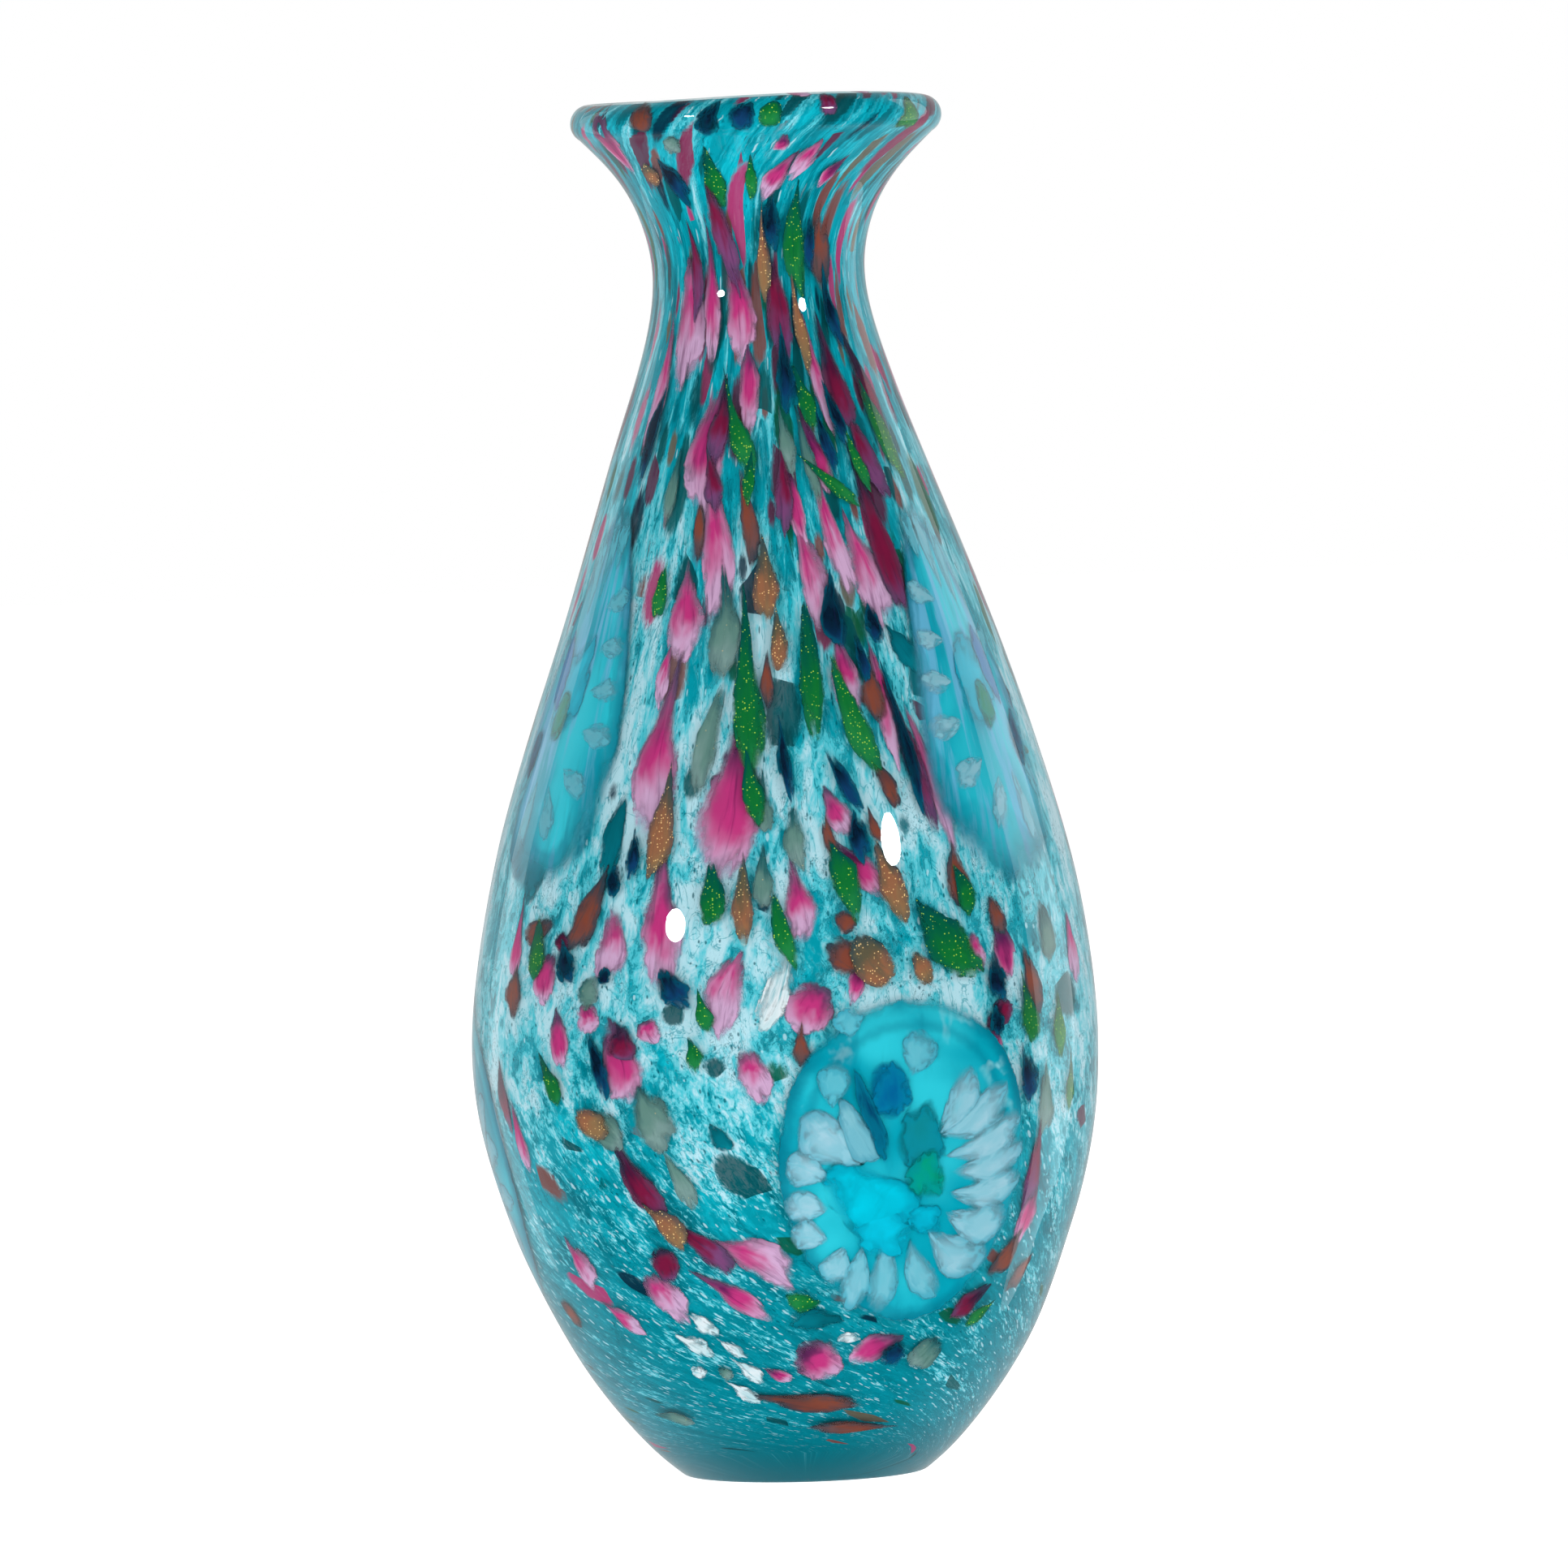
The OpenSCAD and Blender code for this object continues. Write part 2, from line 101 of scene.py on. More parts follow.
def read_section(node: bpy.types.Object) -> Line:
    """Walks the rings of a turned node, from the lowest one that ends its section to the highest.

    Args:
        node: A node turned about the upright axis.

    Returns:
        The rings as (radius, height) points in order.
    """
    rings: list[Vector] = []
    cells: dict[tuple[int, int], int] = {}
    grid = 0.00005
    own: list[int] = []
    for vertex in node.data.vertices:
        ring = Vector((math.hypot(vertex.co.x, vertex.co.y), vertex.co.z))
        cell = (int(ring.x / grid), int(ring.y / grid))
        near = [cells[(cell[0] + i, cell[1] + k)] for i in (-1, 0, 1) for k in (-1, 0, 1)
                if (cell[0] + i, cell[1] + k) in cells]
        near = [i for i in near if (rings[i] - ring).length < grid]
        if not near:
            cells[cell] = len(rings)
            rings.append(ring)
            near = [cells[cell]]
        own.append(near[0])
    links: list[set[int]] = [set() for _ in rings]
    for edge in node.data.edges:
        a, b = (own[v] for v in edge.vertices)
        if a != b:
            links[a].add(b)
            links[b].add(a)
    ends = [i for i, near in enumerate(links) if len(near) == 1]
    walk = [min(ends, key=lambda i: rings[i].y)]
    passed = set(walk)
    while True:
        onward = [i for i in links[walk[-1]] if i not in passed]
        if not onward:
            return [rings[i] for i in walk]
        walk.append(min(onward, key=lambda i: (rings[i] - rings[walk[-1]]).length))
        passed.add(walk[-1])


def split_at_top(section: Line) -> tuple[Line, Line]:
    """Parts a layer's section at its highest ring.

    Args:
        section: The section.

    Returns:
        Its outer and its inner line, both from the foot up.
    """
    top = max(range(len(section)), key=lambda i: section[i].y)
    return section[:top + 1], section[:top - 1:-1]


def rounded(line: Line, steps: int) -> Line:
    """Puts more points on a line, on a smooth curve through the ones it has.

    Args:
        line: The points.
        steps: Pieces that each span is cut into.

    Returns:
        The finer line.
    """
    points: Line = []
    for i in range(len(line) - 1):
        before, a, b, after = line[max(i - 1, 0)], line[i], line[i + 1], line[min(i + 2, len(line) - 1)]
        span = (b - a).length
        pull_a = (b - before) * (span / max((b - a).length + (a - before).length, 1e-9))
        pull_b = (after - a) * (span / max((after - b).length + (b - a).length, 1e-9))
        for k in range(steps):
            t = k / steps
            points.append(a * (2 * t ** 3 - 3 * t ** 2 + 1) + b * (3 * t ** 2 - 2 * t ** 3)
                          + pull_a * (t ** 3 - 2 * t ** 2 + t) + pull_b * (t ** 3 - t ** 2))
    return points + [line[-1]]


def even(line: Line, count: int) -> Line:
    """Spaces points evenly along a line.

    Args:
        line: The line.
        count: Number of points.

    Returns:
        The evenly spaced points, with the same ends.
    """
    spans = [(b - a).length for a, b in zip(line, line[1:])]
    step = sum(spans) / (count - 1)
    points, i, gone = [line[0].copy()], 0, 0.0
    for k in range(1, count - 1):
        while gone + spans[i] < k * step:
            gone += spans[i]
            i += 1
        points.append(line[i].lerp(line[i + 1], (k * step - gone) / spans[i]))
    return points + [line[-1].copy()]


def settled(line: Line, passes: int) -> Line:
    """Takes the ripples out of a line, as soft glass does. Its ends stay.

    Args:
        line: The line.
        passes: How often it is smoothed.

    Returns:
        The smoothed line.
    """
    for _ in range(passes):
        line = [line[0]] + [(a + b * 2 + c) / 4 for a, b, c in zip(line, line[1:], line[2:])] + [line[-1]]
    return line


@dataclass
class Lip:
    """The rolled lip: a half circle on the end of the wall.

    Attributes:
        centre: Its middle in the section.
        radius: Half its thickness.
        flare: Angle of the wall below it from upright, in radians.
        sink: Share of the lip's radius that the colour reaches under the clear glass.
    """

    centre: Vector
    radius: float
    flare: float
    sink: float = 0.82

    @classmethod
    def from_arc(cls, arc: Line) -> "Lip":
        """Finds the lip from the last points of the casing's outer line, which lie on its circle.

        Args:
            arc: The points.

        Returns:
            The lip.
        """
        a, b, c = arc[0], arc[len(arc) // 2], arc[-1]
        ab, ac = b - a, c - a
        turn = 2 * (ab.x * ac.y - ab.y * ac.x)
        centre = a + Vector((ac.y * ab.length_squared - ab.y * ac.length_squared,
                             ab.x * ac.length_squared - ac.x * ab.length_squared)) / turn
        return cls(centre, (a - centre).length, math.atan2(a.y - centre.y, a.x - centre.x) + math.pi / 2)

    def on(self, turn: float, scale: float = 1.0) -> Vector:
        """Point on the lip's arc, turned from where it leaves the outside of the wall."""
        a = self.flare - turn
        return self.centre + self.radius * scale * Vector((math.cos(a), -math.sin(a)))

    def colour_arc(self, start: int, end: int) -> Line:
        """Where the colour runs round the lip, under clear glass that ends on its inner side."""
        return [self.on(math.radians(a), between(self.sink, 1.0, ease(134, 158, a)))
                for a in range(start, end + 1, 6)]


@dataclass
class Outline:
    """The vase's outer line, from the foot's edge over the lip, and the clear glass under it.

    Attributes:
        line: Evenly spaced (radius, height) points.
        ground: The line of the coloured ground under it.
        outward: The direction out of the glass at each.
        cover: Clear glass over the coloured ground at each.
    """

    line: Line
    ground: Line
    outward: Line = field(default_factory=list)
    cover: list[float] = field(default_factory=list)

    def __post_init__(self) -> None:
        """Finds the outward directions and the cover."""
        self.line = even(self.line, 420)
        self.step = (self.line[1] - self.line[0]).length
        for i, _ in enumerate(self.line):
            ahead = self.line[min(i + 1, len(self.line) - 1)] - self.line[max(i - 1, 0)]
            self.outward.append(Vector((ahead.y, -ahead.x)).normalized())
        for point, out in zip(self.line, self.outward):
            self.cover.append(self._to_ground(point, out))
        self.spots = np.array([tuple(p) for p in self.line])

    def _to_ground(self, point: Vector, out: Vector) -> float:
        """Depth at which a line square to the surface meets the ground.

        Args:
            point: A point on the surface.
            out: The direction out of the glass there.

        Returns:
            The depth, in metres.
        """
        met = []
        for a, b in zip(self.ground, self.ground[1:]):
            side_a, side_b = ((p - point).x * out.y - (p - point).y * out.x for p in (a, b))
            if (side_a > 0) != (side_b > 0):
                depth = -(a.lerp(b, side_a / (side_a - side_b)) - point).dot(out)
                if depth > 0:
                    met.append(depth)
        return min(met, default=self.cover[-1] if self.cover else 5 * MM)

    def read(self, way: float) -> tuple[Vector, Vector, float]:
        """Point, outward direction and cover at a way up the outline.

        Args:
            way: Way up the outline from the foot's edge.

        Returns:
            The three, between the outline's own points.
        """
        i = min(max(way / self.step, 0.0), len(self.line) - 1.001)
        k, t = int(i), i - int(i)
        return (self.line[k].lerp(self.line[k + 1], t), self.outward[k].lerp(self.outward[k + 1], t),
                between(self.cover[k], self.cover[k + 1], t))

    def place(self, azimuth: float, way: float, depth: float) -> Vector:
        """A point under the surface.

        Args:
            azimuth: Turn round the vase in radians, 0 at the front.
            way: Way up the outline from the foot's edge.
            depth: Share of the clear glass from outside, 1 at the ground.

        Returns:
            The point.
        """
        point, out, cover = self.read(way)
        point = point - out * cover * depth
        return Vector((point.x * math.sin(azimuth), -point.x * math.cos(azimuth), point.y))

    def find(self, co: Vector) -> tuple[float, float, float]:
        """Azimuth, way and depth share of a point in the wall.

        Args:
            co: The point.

        Returns:
            The three.
        """
        flat = Vector((math.hypot(co.x, co.y), co.z))
        k = int(np.argmin(((self.spots - (flat.x, flat.y)) ** 2).sum(1)))
        ahead = Vector((-self.outward[k].y, self.outward[k].x))
        way = k * self.step + (flat - self.line[k]).dot(ahead)
        depth = (self.line[k] - flat).dot(self.outward[k]) / self.cover[k]
        return math.atan2(co.x, -co.y), way, depth


@dataclass
class HandWander:
    """How far the hand let the vase wander from a true turning, in millimetres.

    Attributes:
        sway: Sideways shift of the axis at each height.
        rim_wave: Rise and fall of the lip.
    """

    sway: list[tuple[float, float]] = field(default_factory=lambda: [
        (0, 1.6), (30, 1.4), (60, 0.4), (100, -0.4), (150, 0.3), (200, 0.8), (260, -0.7), (300, -1.4),
        (330, -0.8)])
    rim_wave: float = 0.6

    def bend(self, mesh: bpy.types.Mesh) -> None:
        """Moves every vertex of a mesh by the wander at its height.

        Args:
            mesh: The mesh.
        """
        for vertex in mesh.vertices:
            co = vertex.co
            turn = math.atan2(co.x, -co.y)
            co.z += self.rim_wave * MM * math.sin(2 * turn + 0.6) * ease(0.29, 0.33, co.z)
            co.x += along(self.sway, co.z / MM) * MM


# ---------------------------------------------------------------- shader building

class Board:
    """Adds and joins the nodes of one material or node group."""

    def __init__(self, tree: bpy.types.NodeTree) -> None:
        """Keeps the tree."""
        self.tree = tree

    def add(self, kind: str, **values: object) -> bpy.types.Node:
        """Adds a node and sets its properties.

        Args:
            kind: The node's type.
            values: Its properties.

        Returns:
            The node.
        """
        made = self.tree.nodes.new(kind)
        for name, value in values.items():
            setattr(made, name, value)
        return made

    def feed(self, socket: bpy.types.NodeSocket, value: object) -> None:
        """Joins a socket to an output, or gives it a plain value.

        Args:
            socket: The input.
            value: An output, a plain value, or None to leave it.
        """
        if isinstance(value, bpy.types.NodeSocket):
            self.tree.links.new(value, socket)
        elif value is not None:
            socket.default_value = value

    def math(self, operation: str, *values: object, clamp: bool = False) -> bpy.types.NodeSocket:
        """Adds a Math node.

        Args:
            operation: Blender's name for the operation.
            values: The numbers, as in feed.
            clamp: True to keep the outcome between 0 and 1.

        Returns:
            The outcome.
        """
        made = self.add("ShaderNodeMath", operation=operation, use_clamp=clamp)
        for socket, value in zip(made.inputs, values):
            self.feed(socket, value)
        return made.outputs[0]

    def vector(self, operation: str, *values: object) -> bpy.types.NodeSocket:
        """Adds a Vector Math node.

        Args:
            operation: Blender's name for the operation.
            values: The vectors, as in feed.

        Returns:
            The outcome.
        """
        made = self.add("ShaderNodeVectorMath", operation=operation)
        for socket, value in zip(made.inputs, values):
            self.feed(socket, value)
        return made.outputs["Value"] if operation in ("LENGTH", "DOT_PRODUCT") else made.outputs[0]

    def join(self, x: object, y: object, z: object) -> bpy.types.NodeSocket:
        """Adds a Combine XYZ node.

        Args:
            x: First number.
            y: Second number.
            z: Third number.

        Returns:
            The vector.
        """
        made = self.add("ShaderNodeCombineXYZ")
        for socket, value in zip(made.inputs, (x, y, z)):
            self.feed(socket, value)
        return made.outputs[0]

    def part(self, value: bpy.types.NodeSocket) -> bpy.types.NodeOutputs:
        """Adds a Separate XYZ node.

        Args:
            value: The vector.

        Returns:
            Its three numbers.
        """
        made = self.add("ShaderNodeSeparateXYZ")
        self.feed(made.inputs[0], value)
        return made.outputs

    def step(self, value: object, low: object, high: object, to: tuple[float, float] = (0.0, 1.0)
             ) -> bpy.types.NodeSocket:
        """Adds a smooth Map Range node that goes from one value to another between low and high.

        Args:
            value: What is read.
            low: Where the rise starts.
            high: Where it ends.
            to: The values at its two ends.

        Returns:
            The value between them.
        """
        made = self.add("ShaderNodeMapRange", interpolation_type="SMOOTHSTEP")
        for name, given in (("Value", value), ("From Min", low), ("From Max", high), ("To Min", to[0]),
                            ("To Max", to[1])):
            self.feed(made.inputs[name], given)
        return made.outputs[0]

    def blend(self, share: object, first: object, second: object, mode: str = "MIX") -> bpy.types.NodeSocket:
        """Adds a colour Mix node.

        Args:
            share: Share of the second colour.
            first: First colour.
            second: Second colour.
            mode: Blender's name for the way they mix.

        Returns:
            The mixed colour.
        """
        made = self.add("ShaderNodeMix", data_type="RGBA", blend_type=mode, clamp_factor=True)
        self.feed(made.inputs["Factor"], share)
        for name, value in (("A", first), ("B", second)):
            socket = next(s for s in made.inputs if s.name == name and s.type == "RGBA")
            self.feed(socket, (*value, 1.0) if isinstance(value, tuple) else value)
        return next(s for s in made.outputs if s.type == "RGBA")

    def clouds(self, vector: object, scale: float, detail: float = 3.0, rough: float = 0.5,
               warp: float = 0.0) -> bpy.types.NodeSocket:
        """Adds a Noise Texture node and gives its value.

        Args:
            vector: Where it is read.
            scale: How fine it is.
            detail: Finer layers added.
            rough: How strong those are.
            warp: How far it is pulled about.

        Returns:
            The value, about 0 to 1.
        """
        made = self.add("ShaderNodeTexNoise")
        self.feed(made.inputs["Vector"], vector)
        for name, value in (("Scale", scale), ("Detail", detail), ("Roughness", rough), ("Distortion", warp)):
            made.inputs[name].default_value = value
        return made.outputs[0]

    def grains(self, vector: object, scale: object, feature: str = "F1") -> bpy.types.NodeOutputs:
        """Adds a Voronoi Texture node.

        Args:
            vector: Where it is read.
            scale: How fine it is.
            feature: Blender's name for what it measures.

        Returns:
            Its outputs.
        """
        made = self.add("ShaderNodeTexVoronoi", feature=feature)
        self.feed(made.inputs["Vector"], vector)
        self.feed(made.inputs["Scale"], scale)
        return made.outputs

    def attribute(self, name: str) -> bpy.types.Node:
        """Adds an Attribute node for one of the mesh's own attributes."""
        return self.add("ShaderNodeAttribute", attribute_name=name, attribute_type="GEOMETRY")

    def group(self, tree: bpy.types.NodeTree, **inputs: object) -> bpy.types.NodeOutputs:
        """Places a node group and feeds its inputs, named with spaces as underscores.

        Args:
            tree: The group.
            inputs: Values for its inputs.

        Returns:
            Its outputs.
        """
        made = self.add("ShaderNodeGroup", node_tree=tree)
        for name, value in inputs.items():
            self.feed(made.inputs[name.replace("_", " ")], value)
        return made.outputs


@dataclass
class EffectGroup:
    """A node group under construction.

    Attributes:
        name: What the effect is called.
        inputs: Socket kind and default value for each input.
        outputs: Socket kind for each output.
    """

    name: str
    inputs: dict[str, tuple[str, object]]
    outputs: dict[str, str]

    def __post_init__(self) -> None:
        """Makes the tree with its sockets."""
        self.tree = bpy.data.node_groups.new(self.name, "ShaderNodeTree")
        for name, (kind, value) in self.inputs.items():
            socket = self.tree.interface.new_socket(name, in_out="INPUT", socket_type=f"NodeSocket{kind}")
            if value is not None:
                socket.default_value = value
        for name, kind in self.outputs.items():
            self.tree.interface.new_socket(name, in_out="OUTPUT", socket_type=f"NodeSocket{kind}")
        self.board = Board(self.tree)
        self.given = self.board.add("NodeGroupInput").outputs

    def finish(self, **values: bpy.types.NodeSocket) -> bpy.types.NodeTree:
        """Joins the outputs, and gives the finished tree.

        Args:
            values: What each output is fed.

        Returns:
            The tree.
        """
        ends = self.board.add("NodeGroupOutput").inputs
        for name, value in values.items():
            self.board.feed(ends[name.replace("_", " ")], value)
        return self.tree


class Effects:
    """The effects that several glasses share."""

    def __init__(self) -> None:
        """Builds each group once."""
        self.ragged_edge = self._ragged_edge()
        self.drawn_grain = self._drawn_grain()
        self.painted_glints = self._painted_glints()
        self.fall = self._fall()

    @staticmethod
    def _ragged_edge() -> bpy.types.NodeTree:
        """Mask of a melted piece, whose edge wavers and fades, and the band along it."""
        g = EffectGroup("ragged_edge", {"Leaf": ("Vector", None), "Waver": ("Float", 0.2),
                                        "Softness": ("Float", 0.2), "Band": ("Float", 0.3)},
                        {"Mask": "Float", "Rim": "Float", "Reach": "Float"})
        b, given = g.board, g.given
        u, v, seed = b.part(given["Leaf"])
        place = b.add("ShaderNodeTexCoord").outputs["Object"]
        waver = b.math("SUBTRACT", b.clouds(place, 420, 3, 0.6), 0.5)
        reach = b.vector("LENGTH", b.join(u, v, 0.0))
        reach = b.math("ADD", reach, b.math("MULTIPLY", waver, given["Waver"]))
        patchy = b.clouds(b.join(u, v, b.math("MULTIPLY", seed, 31.0)), 1.6, 2, 0.5, 0.4)
        fade = b.math("MULTIPLY", given["Softness"], b.step(patchy, 0.38, 0.64, (0.35, 1.9)))
        start = b.math("SUBTRACT", 0.97, fade)
        mask = b.step(reach, start, 0.97, (1.0, 0.0))
        rim_start = b.math("SUBTRACT", start, given["Band"])
        rim = b.math("MULTIPLY", b.step(reach, rim_start, start), b.step(patchy, 0.40, 0.60, (1.0, 0.25)))
        return g.finish(Mask=mask, Rim=rim, Reach=reach)

    @staticmethod
    def _drawn_grain() -> bpy.types.NodeTree:
        """Streaks drawn out along a piece."""
        g = EffectGroup("drawn_grain", {"Leaf": ("Vector", None), "Across": ("Float", 5.0),
                                        "Along": ("Float", 1.0)}, {"Streak": "Float", "Cloud": "Float"})
        b, given = g.board, g.given
        u, v, seed = b.part(given["Leaf"])
        drawn = b.join(b.math("MULTIPLY", u, given["Across"]), b.math("MULTIPLY", v, given["Along"]),
                       b.math("MULTIPLY", seed, 40.0))
        streak = b.clouds(drawn, 1.0, 5, 0.62, 0.4)
        cloud = b.clouds(b.join(u, v, b.math("MULTIPLY", seed, 23.0)), 1.3, 2, 0.5, 0.3)
        return g.finish(Streak=streak, Cloud=cloud)

    @staticmethod
    def _painted_glints() -> bpy.types.NodeTree:
        """Flat metal crystals whose glints are painted: each is painted lit by its own amount, whatever the
        lamps do.
        """
        g = EffectGroup("painted_glints", {"Size": ("Float", 0.6), "Amount": ("Float", 0.3)}, {"Spark": "Float"})
        b, given = g.board, g.given
        place = b.add("ShaderNodeTexCoord").outputs["Object"]
        cells = b.grains(place, b.math("DIVIDE", 1000.0, given["Size"]))
        chance = b.part(cells["Color"])[0]
        limit = b.math("SUBTRACT", 1.0, given["Amount"])
        lit = b.step(chance, limit, b.math("ADD", limit, 0.10))
        near = b.step(cells["Distance"], 0.20, 0.36, (1.0, 0.0))
        return g.finish(Spark=b.math("MULTIPLY", lit, near))

    @staticmethod
    def _fall() -> bpy.types.NodeTree:
        """Height in millimetres, and clouds that move its borders."""
        g = EffectGroup("fall", {"Spread": ("Float", 10.0)}, {"Height": "Float"})
        b, given = g.board, g.given
        place = b.add("ShaderNodeTexCoord").outputs["Object"]
        height = b.math("MULTIPLY", b.part(place)[2], 1000.0)
        drift = b.math("MULTIPLY", b.math("SUBTRACT", b.clouds(place, 45, 3, 0.6), 0.5), given["Spread"])
        return g.finish(Height=b.math("ADD", height, drift))


def new_material(name: str) -> tuple[bpy.types.Material, Board, bpy.types.Node, bpy.types.Node]:
    """Starts a node material.

    Args:
        name: The material's name.

    Returns:
        The material, its board, its Principled BSDF and its output.
    """
    material = bpy.data.materials.new(name)
    material.use_nodes = True
    tree = material.node_tree
    return material, Board(tree), tree.nodes["Principled BSDF"], tree.nodes["Material Output"]


@dataclass(frozen=True)
class ChipGlass:
    """Finish of coloured glass that lies under the clear glass as melted pieces.

    Attributes:
        name: The material's name.
        crown: Colour at a piece's upper end.
        heart: Colour in its middle.
        tail: Colour at its lower end.
        rim: Colour of the band round it.
        rim_amount: How strongly the band shows.
        rim_low: Share of that at the lower end.
        streak: Colour of the streaks drawn along it.
        streak_amount: How strongly they show.
        halo: How far the tail's colour runs up along its sides.
        body: How opaque the piece is.
        softness: How far its edge fades, as a share of its size.
        waver: How ragged its edge is.
        spark: Colour of its metal crystals, painted as glints.
        spark_amount: Share of the crystals painted as glinting.
        spark_size: Width of a crystal, in millimetres.
        tinted: True if each piece brings its own colour.
    """

    name: str
    crown: Colour
    heart: Colour
    tail: Colour
    rim: Colour = shade(3, 62, 76)
    rim_amount: float = 0.75
    rim_low: float = 0.7
    streak: Colour = shade(20, 40, 60)
    streak_amount: float = 0.4
    halo: float = 0.0
    body: float = 0.96
    softness: float = 0.24
    waver: float = 0.34
    spark: Colour = shade(255, 214, 130)
    spark_amount: float = 0.0
    spark_size: float = 0.55
    tinted: bool = False

    def build(self, effects: Effects) -> bpy.types.Material:
        """Builds the material.

        Args:
            effects: The shared node groups.

        Returns:
            The material.
        """
        material, b, glass, _ = new_material(self.name)
        leaf = b.attribute("leaf").outputs["Vector"]
        _, v, seed = b.part(leaf)
        edge = b.group(effects.ragged_edge, Leaf=leaf, Waver=self.waver, Softness=self.softness, Band=0.30)
        grain = b.group(effects.drawn_grain, Leaf=leaf, Across=4.0, Along=0.9)
        shift = b.math("MULTIPLY", b.math("SUBTRACT", grain["Cloud"], 0.5), 1.5)
        luck = b.math("MULTIPLY", b.math("SUBTRACT", seed, 0.5), 0.9)
        height = b.math("ADD", b.math("ADD", v, shift), luck)
        colour = b.blend(b.step(height, -0.75, 0.05), self.tail, self.heart)
        colour = b.blend(b.step(height, 0.1, 0.85), colour, self.crown)
        colour = b.blend(b.math("MULTIPLY", b.step(edge["Reach"], 0.35, 0.95, (0.0, self.halo)),
                                b.step(height, -0.2, 0.9, (1.0, 0.25))), colour, self.tail)
        if self.tinted:
            tint = b.attribute("tint").outputs["Color"]
            colour = b.blend(b.step(grain["Cloud"], 0.30, 0.62, (0.0, 0.28)), tint, self.crown)
        streaks = b.step(grain["Streak"], 0.50, 0.72, (0.0, self.streak_amount))
        colour = b.blend(streaks, colour, self.streak)
        rim = b.step(v, -0.5, 0.5, (self.rim_amount * self.rim_low, self.rim_amount))
        rim = b.math("MULTIPLY", edge["Rim"], rim)
        colour = b.blend(rim, colour, self.rim)
        # The metal crystals are painted in as glints, lit whatever the lamps do.
        if self.spark_amount:
            sparks = b.group(effects.painted_glints, Size=self.spark_size, Amount=self.spark_amount)
            colour = b.blend(sparks["Spark"], colour, self.spark)
        b.feed(glass.inputs["Base Color"], colour)
        b.feed(glass.inputs["Alpha"], b.math("MULTIPLY", edge["Mask"], self.body))
        glass.inputs["Roughness"].default_value = 0.6
        glass.inputs["Specular IOR Level"].default_value = 0.0
        return material


@dataclass(frozen=True)
class ClearGlass:
    """The clear glass cased over the colour. Light from lamps passes straight through to the colour.

    Attributes:
        name: Its name.
        tint: Its colour.
    """

    name: str = "clear_casing_glass"
    tint: Colour = (0.985, 1.0, 1.0)

    def build(self, effects: Effects) -> bpy.types.Material:
        """Builds the material.

        Args:
            effects: The shared node groups.

        Returns:
            The material.
        """
        material, b, glass, output = new_material(self.name)
        glass.inputs["Base Color"].default_value = (*self.tint, 1.0)
        glass.inputs["Transmission Weight"].default_value = 1.0
        glass.inputs["Roughness"].default_value = 0.0
        glass.inputs["IOR"].default_value = 1.5
        place = b.add("ShaderNodeTexCoord").outputs["Object"]
        swell = b.add("ShaderNodeBump")
        swell.inputs["Strength"].default_value = 0.008
        swell.inputs["Distance"].default_value = 0.001
        b.feed(swell.inputs["Height"], b.clouds(b.vector("MULTIPLY", place, (1.0, 1.0, 0.4)), 60, 1.5, 0.4))
        b.feed(glass.inputs["Normal"], swell.outputs[0])
        rays = b.add("ShaderNodeLightPath").outputs
        through = b.add("ShaderNodeBsdfTransparent")
        shader = glass.outputs[0]
        for ray in ("Is Diffuse Ray", "Is Shadow Ray"):
            mixed = b.add("ShaderNodeMixShader")
            b.feed(mixed.inputs[0], rays[ray])
            b.feed(mixed.inputs[1], shader)
            b.feed(mixed.inputs[2], through.outputs[0])
            shader = mixed.outputs[0]
        b.feed(output.inputs["Surface"], shader)
        return material


